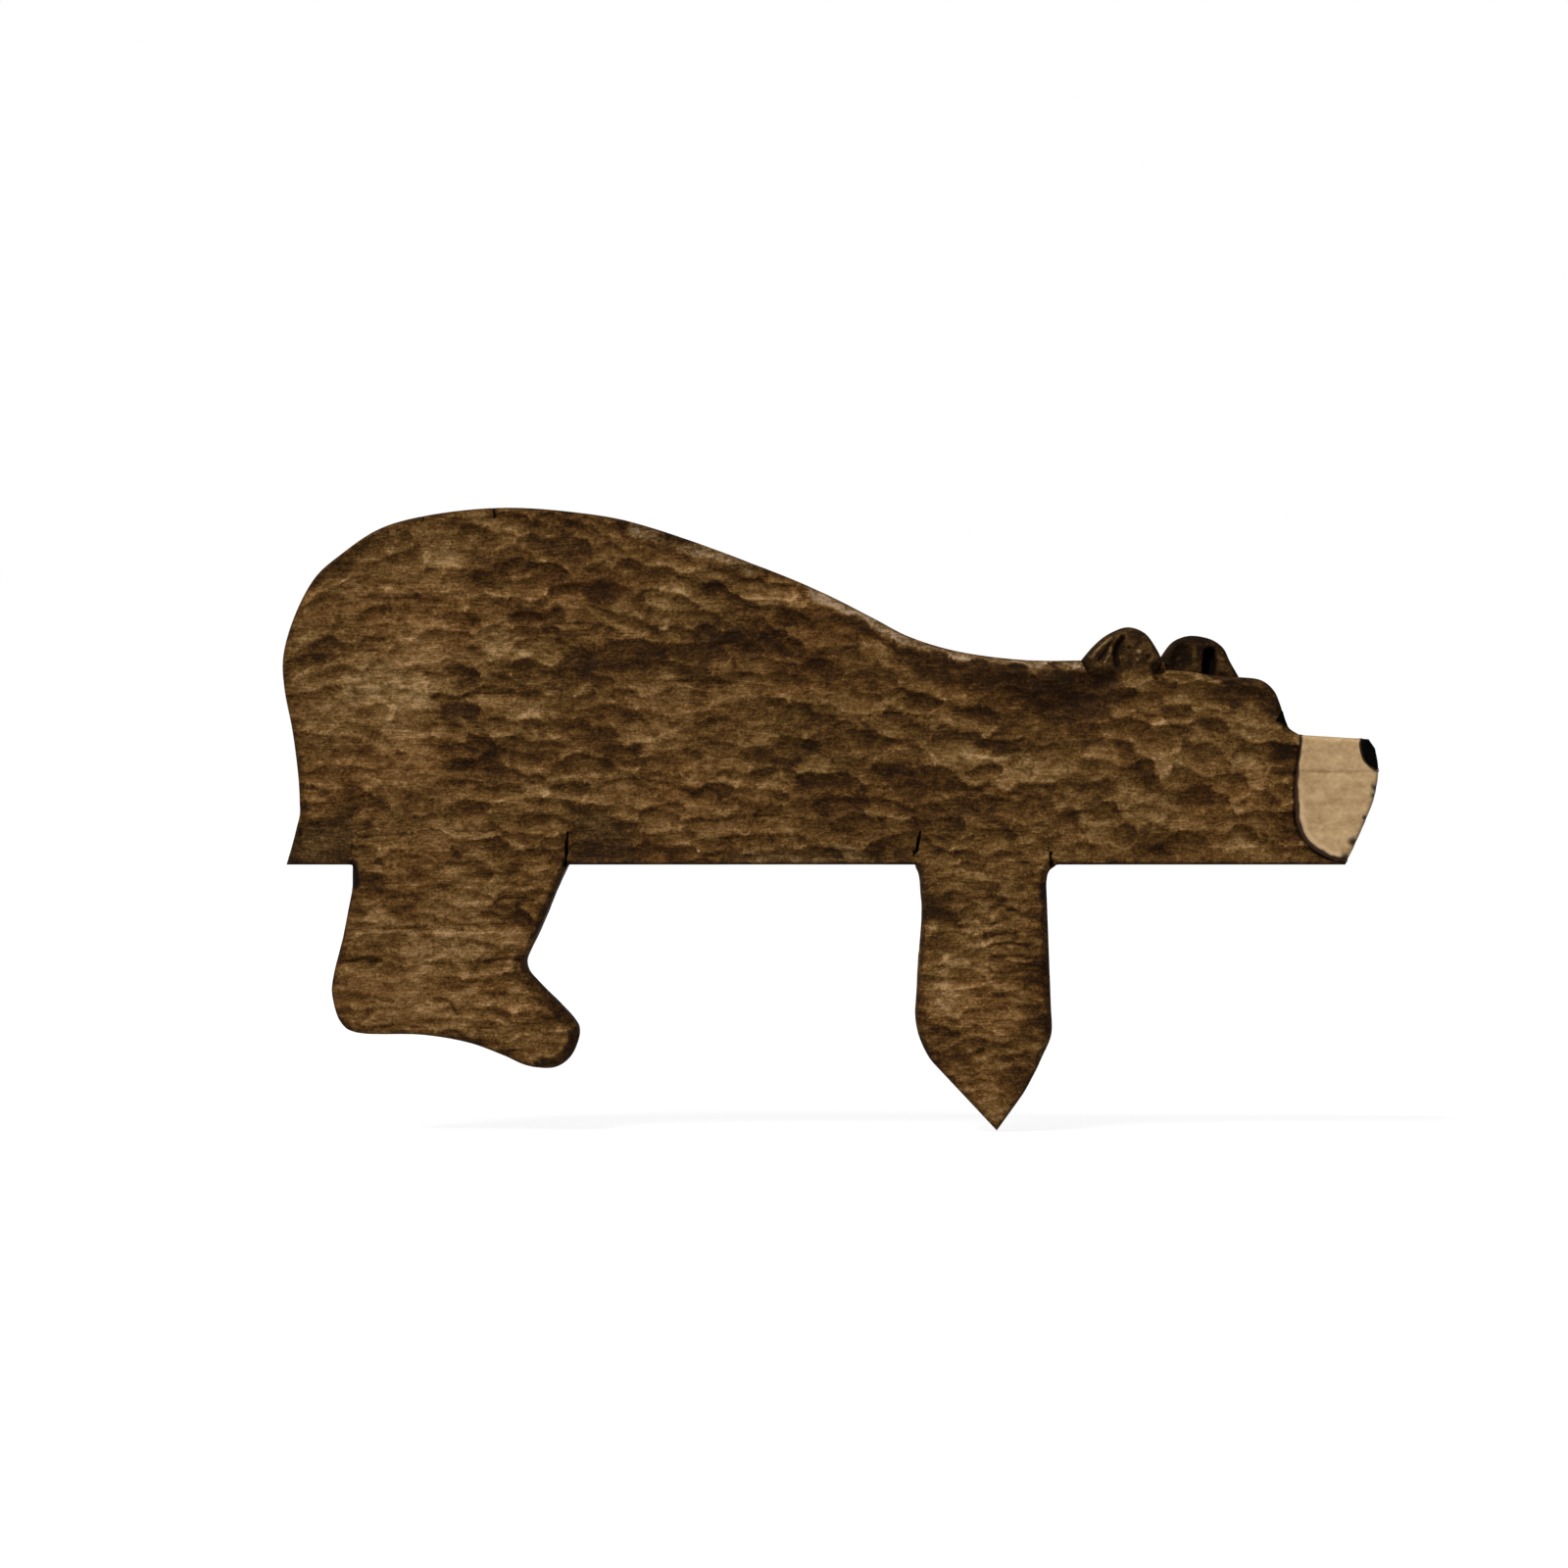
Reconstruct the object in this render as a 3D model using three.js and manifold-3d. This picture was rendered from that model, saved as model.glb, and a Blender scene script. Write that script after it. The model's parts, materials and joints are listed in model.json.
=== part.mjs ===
// A carved wooden bear that lies along the top of a door casing. Its belly rests on the casing's top,
// its wall side touches the wall, and its legs hang down in front of the casing.
// It is cut from 19 mm boards: two boards laminated face to face make the body, two legs are let up
// into the front one, and the muzzle block, nose strip, ears and eye chips are set into the head.
import * as THREE from "three";
import { mergeVertices } from "three/addons/utils/BufferGeometryUtils.js";
import Module from "manifold-3d";

const wasm = await Module();
wasm.setup();

// Driving dimensions, in millimetres. +X runs towards the nose, -Y faces the room, +Z is up.
// The origin is the middle of the back board's underside, where the belly rests.
const STOCK = 19; // planed thickness of every board
const GLUE = 0.3; // glue line left between two pieces
const WALL_FACE = STOCK / 2; // wall side of the back board
const LAMINATION = WALL_FACE - STOCK; // middle of the glue line between the two boards
const ROOM_FACE = LAMINATION - STOCK; // carved side, which faces the room
const EDGE_ROUND = 2.5; // rounding along the carved side's outline
const EAR_ROUND = 1.4;
const CURVE_STEPS = 3;
const FAR = 400; // beyond the whole object, for cutting tools

const CHIN_X = 143.3;
const HEAD_TOP = 57; // height of the nape, where the ears stand
const HOUSING = 9.5; // how far each leg is let up into the front board
const HIND_LEG_ROOT = { left: -133.5, right: -73.6, slant: 0 };
const FRONT_LEG_ROOT = { left: 23.8, right: 60.2, slant: 1.3 };

const LEG_DOWEL = { radius: 4, length: 36, bottom: -12 };
const BOARD_DOWEL = { radius: 4, length: 26 };
const MUZZLE_DOWEL = { radius: 3, length: 24, start: 117 };
const EAR_PIN = { radius: 2, length: 16, bottom: 41 };
const ROUND_SIDES = 20;

const points = (list) => list.map(([x, z]) => new THREE.Vector2(x, z));

// ---- Outlines, drawn in the XZ plane as seen from the room ----

// Torso, neck, head and muzzle, over a straight belly.
function bodyOutline() {
  const s = new THREE.Shape();
  s.moveTo(CHIN_X, 0);
  s.lineTo(-151.8, 0);
  s.quadraticCurveTo(-149.3, 8, -148, 14.6);
  s.splineThru(
    points([
      [-148.4, 24],
      [-150, 37],
      [-152.3, 49],
      [-152.6, 58.5],
      [-149.4, 69.6],
      [-143.8, 80],
      [-136.4, 86.6],
      [-127.4, 92.8],
      [-118, 96.2],
      [-104, 98.6],
      [-89, 99.5],
      [-72, 98.3],
      [-55, 95.4],
      [-32.5, 88],
      [-5, 77.1],
      [11.2, 69.1],
      [22.1, 63.5],
      [36, 59.4],
      [54, 57.1],
      [72, HEAD_TOP],
    ]),
  );
  s.lineTo(93, HEAD_TOP);
  s.quadraticCurveTo(104, 55.4, 114, 52.3);
  s.splineThru(
    points([
      [119.6, 51.6],
      [123.4, 48.8],
      [125.4, 44.4],
      [127.4, 38.6],
      [130.6, 36.2],
    ]),
  );
  s.lineTo(149.8, 35);
  s.lineTo(151.6, 32.4);
  s.splineThru(
    points([
      [152.5, 26.6],
      [151.7, 19.8],
      [149.6, 13.8],
      [146.3, 6.2],
    ]),
  );
  return s;
}

function hindLegOutline() {
  const { left, right } = HIND_LEG_ROOT;
  const s = new THREE.Shape();
  s.moveTo(left, HOUSING);
  s.lineTo(right, HOUSING);
  s.lineTo(right, -0.4);
  s.lineTo(-84.4, -25.4);
  s.quadraticCurveTo(-85.7, -28, -83.6, -30.8);
  s.splineThru(
    points([
      [-79.9, -34.8],
      [-72, -43],
      [-70.2, -47.4],
      [-72.5, -53.4],
      [-77.4, -56.6],
      [-84.6, -56],
      [-91.6, -53],
      [-101.4, -49.5],
      [-114.3, -47.4],
      [-130.7, -47],
      [-136.4, -44.2],
      [-138.9, -37],
      [-138.7, -31.2],
      [-136, -19.8],
    ]),
  );
  s.lineTo(-133.7, -8);
  s.lineTo(left, -4);
  return s;
}

function frontLegOutline() {
  const { left, right, slant } = FRONT_LEG_ROOT;
  const s = new THREE.Shape();
  s.moveTo(left + slant, HOUSING);
  s.lineTo(right, HOUSING);
  s.lineTo(right, -8);
  s.lineTo(61.4, -40.2);
  s.lineTo(61.4, -47.6);
  s.quadraticCurveTo(58.2, -56.2, 52.9, -64.8);
  s.lineTo(46.2, -74.1);
  s.lineTo(28.8, -55.6);
  s.quadraticCurveTo(23.2, -48.8, 23.6, -40.2);
  s.lineTo(25.3, -16);
  s.quadraticCurveTo(25.3, -2.4, left, 0);
  return s;
}

// The space that the front board leaves for a leg's root.
function housingOutline({ left, right, slant }) {
  const top = HOUSING + GLUE;
  const s = new THREE.Shape();
  s.moveTo(left - GLUE, -1);
  s.lineTo(left + slant - GLUE, top);
  s.lineTo(right + GLUE, top);
  s.lineTo(right + GLUE, -1);
  return s;
}

// Everything on the muzzle's side of its seam, moved away from the muzzle by gap.
function muzzleRegion(gap) {
  const s = new THREE.Shape();
  s.moveTo(131 - gap, HEAD_TOP);
  s.lineTo(131 - gap, 36);
  s.bezierCurveTo(129.2 - gap, 24, 129.2 - gap, 17, 129.8 - gap, 12);
  s.bezierCurveTo(131 - gap, 6 - gap, 135.4 - gap, 2.4 - gap, 142.6, 1.1 - gap);
  s.lineTo(FAR, 1.1 - gap);
  s.lineTo(FAR, HEAD_TOP);
  return s;
}

// The corner of the muzzle's tip that the nose strip fills, moved away from the nose by gap.
function noseRegion(gap) {
  const s = new THREE.Shape();
  s.moveTo(147.8 - gap, HEAD_TOP);
  s.lineTo(147.8 - gap, 33.6);
  s.quadraticCurveTo(148.1 - gap, 30.2 - gap, 149.4 - gap, 28.8 - gap);
  s.lineTo(152, 26.6 - gap);
  s.lineTo(FAR, 26.6 - gap);
  s.lineTo(FAR, HEAD_TOP);
  return s;
}

function rightEarOutline() {
  const s = new THREE.Shape();
  s.moveTo(69.8, 56.6);
  s.splineThru(
    points([
      [73.6, 61.1],
      [77.8, 64.5],
      [82.8, 66.2],
      [87.6, 64.4],
      [90.8, 60],
      [92.5, 56.4],
    ]),
  );
  s.bezierCurveTo(91.6, 51.4, 87.4, 50, 81.6, 50);
  s.bezierCurveTo(76, 50, 71.6, 51.8, 69.8, 56.6);
  return s;
}

function leftEarOutline() {
  const s = new THREE.Shape();
  s.moveTo(93.6, 58.2);
  s.splineThru(
    points([
      [97.1, 62.7],
      [101.4, 64.3],
      [107, 63.4],
      [110.7, 60.9],
      [112.7, 57],
      [115.1, 52.8],
    ]),
  );
  s.lineTo(112.4, 49.3);
  s.lineTo(96.2, 49.3);
  return s;
}

// A three-sided chip that fills the notch in the brow, grown by gap.
function eyeOutline(gap) {
  const s = new THREE.Shape();
  s.moveTo(123.8 - gap, 40.2);
  s.lineTo(129, 46.6 + gap);
  s.lineTo(129, 38.2 - gap);
  return s;
}

// ---- Solids ----

function toSolid(geometry) {
  const bare = geometry.index ? geometry.toNonIndexed() : geometry.clone();
  bare.deleteAttribute("normal");
  bare.deleteAttribute("uv");
  const merged = mergeVertices(bare, 1e-4);
  return new wasm.Manifold(
    new wasm.Mesh({
      numProp: 3,
      vertProperties: merged.attributes.position.array,
      triVerts: new Uint32Array(merged.index.array),
    }),
  );
}

function toGeometry(solid) {
  const mesh = solid.getMesh();
  const geometry = new THREE.BufferGeometry();
  geometry.setAttribute("position", new THREE.BufferAttribute(mesh.vertProperties, 3));
  geometry.setIndex(new THREE.BufferAttribute(mesh.triVerts, 1));
  geometry.computeVertexNormals();
  return geometry;
}

// An XZ outline extruded from the room side yFront to the wall side yBack.
function prism(shape, yFront, yBack) {
  const geometry = new THREE.ExtrudeGeometry(shape, {
    depth: yBack - yFront,
    bevelEnabled: false,
    curveSegments: CURVE_STEPS,
  });
  return toSolid(geometry.rotateX(Math.PI / 2).translate(0, yBack, 0));
}

const across = (shape) => prism(shape, -FAR, FAR);

// The same prism grown by the glue line on every side, for cutting a pocket.
function pocket(shape, yFront, yBack) {
  const geometry = new THREE.ExtrudeGeometry(shape, {
    depth: yBack - yFront,
    bevelEnabled: true,
    bevelThickness: GLUE,
    bevelSize: GLUE,
    bevelSegments: 1,
    curveSegments: CURVE_STEPS,
  });
  return toSolid(geometry.rotateX(Math.PI / 2).translate(0, yBack, 0));
}

function layer(yFront, yBack) {
  const geometry = new THREE.BoxGeometry(2 * FAR, yBack - yFront, 2 * FAR);
  return toSolid(geometry.translate(0, (yFront + yBack) / 2, 0));
}

// A prism whose outline is rounded over on the room side. The wall side stays square.
function carvedSlab(shape, yFront, yBack, round = EDGE_ROUND) {
  const geometry = new THREE.ExtrudeGeometry(shape, {
    depth: yBack - yFront,
    bevelEnabled: true,
    bevelThickness: round,
    bevelSize: round,
    bevelOffset: -round,
    bevelSegments: 3,
    curveSegments: CURVE_STEPS,
  });
  geometry.rotateX(Math.PI / 2).translate(0, yBack + round, 0);
  return toSolid(geometry).intersect(layer(yFront - 1, yBack));
}

function rod(profile) {
  return new THREE.LatheGeometry(
    profile.map(([radius, along]) => new THREE.Vector2(radius, along)),
    ROUND_SIDES,
  );
}

function dowelGeometry({ radius, length }) {
  const chamfer = radius / 4;
  return rod([
    [0, 0],
    [radius - chamfer, 0],
    [radius, chamfer],
    [radius, length - chamfer],
    [radius - chamfer, length],
    [0, length],
  ]);
}

function dowelHoleGeometry({ radius, length }) {
  const hole = radius + GLUE;
  return rod([
    [0, -GLUE],
    [hole, -GLUE],
    [hole, length + GLUE],
    [0, length + GLUE],
  ]);
}

// ---- Where the dowels and pins lie. Each one runs along +Y of its own frame. ----

const UP = new THREE.Euler(Math.PI / 2, 0, 0);
const TO_NOSE = new THREE.Euler(0, 0, -Math.PI / 2);
const TO_WALL = new THREE.Euler(0, 0, 0);
const FRONT_MIDDLE = (LAMINATION + ROOM_FACE) / 2;
const BACK_MIDDLE = (LAMINATION + WALL_FACE) / 2;

const legDowel = (x) => ({ size: LEG_DOWEL, at: [x, FRONT_MIDDLE, LEG_DOWEL.bottom], turn: UP });
const boardDowel = (x, z) => ({
  size: BOARD_DOWEL,
  at: [x, LAMINATION - BOARD_DOWEL.length / 2, z],
  turn: TO_WALL,
});
const muzzleDowel = (y) => ({ size: MUZZLE_DOWEL, at: [MUZZLE_DOWEL.start, y, 17], turn: TO_NOSE });
const earPin = (x, y) => ({ size: EAR_PIN, at: [x, y, EAR_PIN.bottom], turn: UP });

const rightEar = { yFront: ROOM_FACE + 0.5, yBack: LAMINATION - 4 };
const leftEar = { yFront: LAMINATION + 0.6, yBack: WALL_FACE - 3 };
const EYE_DEPTH = 6;

const dowels = {
  hind_leg_dowel_rear: legDowel(-119),
  hind_leg_dowel_front: legDowel(-89),
  front_leg_dowel_rear: legDowel(34),
  front_leg_dowel_front: legDowel(52),
  board_dowel_rear: boardDowel(-60, 46),
  board_dowel_front: boardDowel(74, 26),
  muzzle_dowel_right: muzzleDowel(FRONT_MIDDLE),
  muzzle_dowel_left: muzzleDowel(BACK_MIDDLE),
  right_ear_pin: earPin(81.6, (rightEar.yFront + rightEar.yBack) / 2),
  left_ear_pin: earPin(103, (leftEar.yFront + leftEar.yBack) / 2),
};

function drilled(solid, ...names) {
  return names.reduce((left, name) => {
    const { size, at, turn } = dowels[name];
    const pose = new THREE.Matrix4().makeRotationFromEuler(turn).setPosition(...at);
    return left.subtract(toSolid(dowelHoleGeometry(size).applyMatrix4(pose)));
  }, solid);
}

// ---- Pieces ----

const blank = carvedSlab(bodyOutline(), ROOM_FACE, WALL_FACE);

function frontBoard() {
  const board = blank
    .intersect(layer(ROOM_FACE - 1, LAMINATION - GLUE / 2))
    .subtract(across(muzzleRegion(GLUE)))
    .subtract(across(housingOutline(HIND_LEG_ROOT)))
    .subtract(across(housingOutline(FRONT_LEG_ROOT)))
    .subtract(pocket(rightEarOutline(), ROOM_FACE - EDGE_ROUND, rightEar.yBack))
    .subtract(prism(eyeOutline(GLUE), -FAR, ROOM_FACE + EYE_DEPTH + GLUE));
  return drilled(board, ...Object.keys(dowels).filter((name) => !name.includes("left")));
}

function backBoard() {
  const board = blank
    .intersect(layer(LAMINATION + GLUE / 2, WALL_FACE + 1))
    .subtract(across(muzzleRegion(GLUE)))
    .subtract(pocket(leftEarOutline(), LAMINATION - 1, leftEar.yBack))
    .subtract(prism(eyeOutline(GLUE), WALL_FACE - EYE_DEPTH - GLUE, FAR));
  return drilled(board, "board_dowel_rear", "board_dowel_front", "muzzle_dowel_left", "left_ear_pin");
}

const leg = (outline, ...dowelNames) =>
  drilled(carvedSlab(outline, ROOM_FACE, LAMINATION - GLUE / 2), ...dowelNames);

function muzzle() {
  const block = blank.intersect(across(muzzleRegion(0))).subtract(across(noseRegion(GLUE)));
  return drilled(block, "muzzle_dowel_right", "muzzle_dowel_left");
}

const nose = () => blank.intersect(across(noseRegion(0)));

const ear = (outline, { yFront, yBack }, pin) => drilled(carvedSlab(outline, yFront, yBack, EAR_ROUND), pin);

const eye = (yFront, yBack) => blank.intersect(prism(eyeOutline(0), yFront, yBack));

// ---- Materials ----

const finish = (color, roughness) =>
  new THREE.MeshStandardMaterial({ color, roughness, metalness: 0 });
const stainedWood = finish(0x553c21, 0.6);
const darkStainedWood = finish(0x362414, 0.65);
const bareWood = finish(0xb0936d, 0.6);
const blackPaint = finish(0x050404, 0.4);
const birchDowel = finish(0xc4a97c, 0.7);

function named(name, geometry, material) {
  const mesh = new THREE.Mesh(geometry, material);
  mesh.name = name;
  return mesh;
}

const carved = (name, solid, material) => named(name, toGeometry(solid), material);

function dowelMesh(name) {
  const { size, at, turn } = dowels[name];
  const mesh = named(name, dowelGeometry(size), birchDowel);
  mesh.position.set(...at);
  mesh.rotation.copy(turn);
  return mesh;
}

// ---- Assembly ----

const body = new THREE.Group();
body.add(
  carved("front_board", frontBoard(), stainedWood),
  carved("back_board", backBoard(), stainedWood),
);

const legs = new THREE.Group();
legs.add(
  carved(
    "hind_leg",
    leg(hindLegOutline(), "hind_leg_dowel_rear", "hind_leg_dowel_front"),
    stainedWood,
  ),
  carved(
    "front_leg",
    leg(frontLegOutline(), "front_leg_dowel_rear", "front_leg_dowel_front"),
    stainedWood,
  ),
);

const head = new THREE.Group();
head.add(
  carved("muzzle", muzzle(), bareWood),
  carved("nose", nose(), blackPaint),
  carved("right_eye", eye(-FAR, ROOM_FACE + EYE_DEPTH), blackPaint),
  carved("left_eye", eye(WALL_FACE - EYE_DEPTH, FAR), blackPaint),
  carved("right_ear", ear(rightEarOutline(), rightEar, "right_ear_pin"), darkStainedWood),
  carved("left_ear", ear(leftEarOutline(), leftEar, "left_ear_pin"), darkStainedWood),
);

const bear = new THREE.Group();
bear.add(body, legs, head, ...Object.keys(dowels).map(dowelMesh));

export default bear;
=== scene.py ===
import json
import math

import bmesh
import bpy
import numpy as np
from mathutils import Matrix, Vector
from mathutils.geometry import delaunay_2d_cdt
from mathutils.kdtree import KDTree


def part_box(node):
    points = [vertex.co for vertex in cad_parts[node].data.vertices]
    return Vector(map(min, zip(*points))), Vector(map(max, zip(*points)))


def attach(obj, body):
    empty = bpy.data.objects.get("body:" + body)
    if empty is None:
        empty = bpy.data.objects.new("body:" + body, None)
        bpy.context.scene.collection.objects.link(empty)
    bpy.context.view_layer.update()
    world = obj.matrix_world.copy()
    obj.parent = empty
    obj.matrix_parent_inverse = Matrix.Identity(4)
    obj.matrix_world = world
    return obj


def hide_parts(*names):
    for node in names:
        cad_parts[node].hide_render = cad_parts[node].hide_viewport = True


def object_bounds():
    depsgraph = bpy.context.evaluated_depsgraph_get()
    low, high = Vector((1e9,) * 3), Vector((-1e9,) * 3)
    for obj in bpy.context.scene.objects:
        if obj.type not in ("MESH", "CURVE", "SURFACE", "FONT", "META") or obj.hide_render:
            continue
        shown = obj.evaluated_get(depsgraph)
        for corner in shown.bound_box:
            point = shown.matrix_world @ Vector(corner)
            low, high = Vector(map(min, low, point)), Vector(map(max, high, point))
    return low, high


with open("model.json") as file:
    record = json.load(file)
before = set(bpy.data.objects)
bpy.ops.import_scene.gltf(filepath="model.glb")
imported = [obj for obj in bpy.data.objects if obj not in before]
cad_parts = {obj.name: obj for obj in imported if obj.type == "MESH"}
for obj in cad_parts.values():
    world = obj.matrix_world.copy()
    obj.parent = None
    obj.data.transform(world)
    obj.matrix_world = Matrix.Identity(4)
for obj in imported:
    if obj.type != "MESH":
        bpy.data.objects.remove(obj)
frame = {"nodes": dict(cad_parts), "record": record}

CAD_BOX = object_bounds()
MM = 0.001
SEED = 7
BODY = "root"


def box_mm(node):
    low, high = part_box(node)
    return np.array(low) / MM, np.array(high) / MM


def places_of(mesh):
    """A mesh's points in millimetres."""
    places = np.empty(len(mesh.vertices) * 3)
    mesh.vertices.foreach_get("co", places)
    return places.reshape(-1, 3) / MM


def new_object(name, data):
    made = bpy.data.objects.new(name, data)
    bpy.context.scene.collection.objects.link(made)
    return made


ROOM_FACE = box_mm("front_board")[0][1]
FRONT_BOARD_BACK = box_mm("front_board")[1][1]
BACK_BOARD_FRONT = box_mm("back_board")[0][1]
WALL_FACE = box_mm("back_board")[1][1]


# ---------------------------------------------------------------- outlines from the frame


def flat_loop(node, y):
    """The outline of a solid's flat face at y, as (x, z) points, counter-clockwise from the room."""
    mesh = frame["nodes"][node].data
    places = places_of(mesh)
    on_face = np.abs(places[:, 1] - y) < 0.01
    keys = [(round(x, 3), round(z, 3)) for x, z in places[:, [0, 2]]]
    edges = set()
    for face in mesh.polygons:
        corners = list(face.vertices)
        if not all(on_face[c] for c in corners):
            continue
        ring = [keys[c] for c in corners]
        for a, b in zip(ring, ring[1:] + ring[:1]):
            if (b, a) in edges:
                edges.remove((b, a))
            else:
                edges.add((a, b))
    follow = dict(edges)
    loops = []
    while follow:
        start, here = follow.popitem()
        loop = [start]
        while here != start:
            loop.append(here)
            here = follow.pop(here)
        loops.append(np.array(loop))
    loop = max(loops, key=lambda one: abs(area(one)))
    return loop if area(loop) > 0 else loop[::-1]


def area(loop):
    x, z = loop[:, 0], loop[:, 1]
    return 0.5 * float(np.sum(x * np.roll(z, -1) - np.roll(x, -1) * z))


def between(x, low, high):
    """A smooth step from 0 at low to 1 at high."""
    t = np.clip((x - low) / (high - low), 0, 1)
    return t * t * (3 - 2 * t)


def unit(vectors):
    return vectors / np.maximum(np.linalg.norm(vectors, axis=-1, keepdims=True), 1e-9)


def curve(t, start, leave, end, arrive):
    """Points of a Hermite curve at the shares t of its length."""
    return (
        (2 * t**3 - 3 * t**2 + 1) * start
        + (t**3 - 2 * t**2 + t) * leave
        + (-2 * t**3 + 3 * t**2) * end
        + (t**3 - t**2) * arrive
    )


def smoothed(loop, spacing, corner=math.radians(30), straight=9.5):
    """Rounds a faceted loop into curves through its points. Corners and long straight edges stay."""
    ahead = np.roll(loop, -1, axis=0) - loop
    behind = loop - np.roll(loop, 1, axis=0)
    length_ahead = np.linalg.norm(ahead, axis=1, keepdims=True)
    length_behind = np.linalg.norm(behind, axis=1, keepdims=True)
    turn = np.arccos(np.clip(np.sum(unit(ahead) * unit(behind), axis=1), -1, 1))
    tangent = unit(unit(behind) * length_ahead + unit(ahead) * length_behind)
    is_long = length_ahead[:, 0] > straight
    was_long = np.roll(is_long, 1)
    tangent[is_long & ~was_long] = unit(ahead)[is_long & ~was_long]
    tangent[was_long & ~is_long] = unit(behind)[was_long & ~is_long]
    sharp = (turn > corner) | (is_long & was_long)
    out = []
    for i, point in enumerate(loop):
        j = (i + 1) % len(loop)
        step = float(length_ahead[i, 0])
        leave = (unit(ahead)[i] if sharp[i] else tangent[i]) * step
        arrive = (unit(ahead)[i] if sharp[j] else tangent[j]) * step
        count = max(1, math.ceil(step / spacing))
        t = (np.arange(count) / count)[:, None]
        out.append(curve(t, point, leave, loop[j], arrive))
    return np.concatenate(out)


def smooth_path(points, spacing=0.4):
    """A smooth open line through a few points."""
    points = np.array(points, float)
    tangents = np.gradient(points, axis=0)
    out = []
    for p, q, leave, arrive in zip(points, points[1:], tangents, tangents[1:]):
        count = max(2, math.ceil(np.linalg.norm(q - p) / spacing))
        t = np.linspace(0, 1, count, endpoint=False)[:, None]
        out.append(curve(t, p, leave, q, arrive))
    return np.concatenate(out + [points[-1:]])


def tree_of(points):
    tree = KDTree(len(points))
    for i, (x, z) in enumerate(points):
        tree.insert((x, z, 0), i)
    tree.balance()
    return tree


def nearest_point(tree, where):
    """How far each place is from the nearest point in a tree."""
    return np.array([tree.find((x, z, 0))[2] for x, z in where])


class Line:
    """A polyline that gives the distance from any points to it."""

    def __init__(self, points, closed=True):
        self.points = np.asarray(points, float)
        self.closed = closed
        self.tree = tree_of(self.points)

    def distance(self, where):
        near = np.array([self.tree.find((x, z, 0))[1] for x, z in where])
        best = np.linalg.norm(where - self.points[near], axis=1)
        count = len(self.points)
        for side in (-1, 1):
            other = near + side
            if self.closed:
                other = other % count
            else:
                other = np.clip(other, 0, count - 1)
            start, along = self.points[near], self.points[other] - self.points[near]
            span = np.maximum(np.sum(along * along, axis=1), 1e-9)
            t = np.clip(np.sum((where - start) * along, axis=1) / span, 0, 1)
            best = np.minimum(best, np.linalg.norm(where - start - along * t[:, None], axis=1))
        return best


def inward_normals(loop):
    """Directions into a loop at its points, longer at the corners so that its sides move evenly."""
    ahead = unit(np.roll(loop, -1, axis=0) - loop)
    behind = unit(loop - np.roll(loop, 1, axis=0))
    middle = unit(ahead + behind)
    normal = np.stack([-middle[:, 1], middle[:, 0]], axis=1)
    half_turn = np.clip(np.sum(middle * ahead, axis=1), 0.6, 1)
    return normal / half_turn[:, None]


SPACING = 0.6
SEAM_CLOSING = 0.12
NEIGHBOUR_GAP = 0.55
raw_loops = {
    "front_board": flat_loop("front_board", FRONT_BOARD_BACK),
    "hind_leg": flat_loop("hind_leg", FRONT_BOARD_BACK),
    "front_leg": flat_loop("front_leg", FRONT_BOARD_BACK),
}
for node in ("muzzle", "nose", "right_ear", "left_ear", "right_eye", "left_eye"):
    raw_loops[node] = flat_loop(node, box_mm(node)[1][1])


def without_housings(loop):
    """The board's outline with the notches for the two legs' roots filled in."""
    keep = np.ones(len(loop), bool)
    for leg in ("hind_leg", "front_leg"):
        low, high = box_mm(leg)
        inside_x = (loop[:, 0] > low[0]) & (loop[:, 0] < high[0])
        keep &= ~(inside_x & (loop[:, 1] > 0.1) & (loop[:, 1] < high[2] + 1))
    return loop[keep]


raw_loops["back_board"] = without_housings(raw_loops["front_board"])


HEAD_TOP_ABOVE = 53
RIDGE_DROP = (2.6, 1.0)


def with_low_ridge(loop):
    """The front board's edge, a little lower in front of the left ear, so that the ear's base shows."""
    start, end = box_mm("right_ear")[1][0], box_mm("left_ear")[1][0]
    ridge = (loop[:, 0] > start) & (loop[:, 0] < end - 2) & (loop[:, 1] > HEAD_TOP_ABOVE)
    lowered = loop.copy()
    lowered[ridge, 1] -= np.interp(loop[ridge, 0], [start, end], RIDGE_DROP)
    last = np.nonzero(ridge)[0][-1]
    return np.insert(lowered, last + 1, (start - 0.6, loop[last, 1]), axis=0)


def with_fillet(loop):
    """The front leg's right edge swept out to meet the belly."""
    edge = loop[:, 0][(loop[:, 1] > 0) & (loop[:, 0] > loop[:, 0].mean())].max()
    sweep = [(0, -4.2), (0.3, -2.6), (0.9, -1.5), (1.9, -0.7), (2.3, -0.2), (0, -0.15)]
    corner = np.nonzero((loop[:, 0] > edge - 0.01) & (loop[:, 1] > 5))[0][0]
    return np.insert(loop, corner, np.array(sweep) + (edge, 0), axis=0)


raw_loops["front_board"] = with_low_ridge(raw_loops["front_board"])
raw_loops["front_leg"] = with_fillet(raw_loops["front_leg"])
ANGULAR = ("nose", "right_eye", "left_eye")
loops = {
    node: smoothed(loop, SPACING, corner=math.radians(8 if node in ANGULAR else 30))
    for node, loop in raw_loops.items()
}
ROOM_SIDE = ("front_board", "hind_leg", "front_leg", "muzzle", "nose")
lines = {node: Line(loops[node]) for node in ROOM_SIDE}


def nearest_neighbour(node):
    """How far each point of a piece's outline is from the nearest other piece."""
    return np.min([lines[other].distance(loops[node]) for other in ROOM_SIDE if other != node], axis=0)


def outer_rim(node):
    """The stretches of a piece's outline that no neighbour touches."""
    return loops[node][nearest_neighbour(node) > NEIGHBOUR_GAP]


rim = tree_of(np.concatenate([outer_rim(node) for node in ROOM_SIDE]))


def rim_distance(where):
    """How far each place is from the outside edge of the whole bear."""
    return nearest_point(rim, where)


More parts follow.
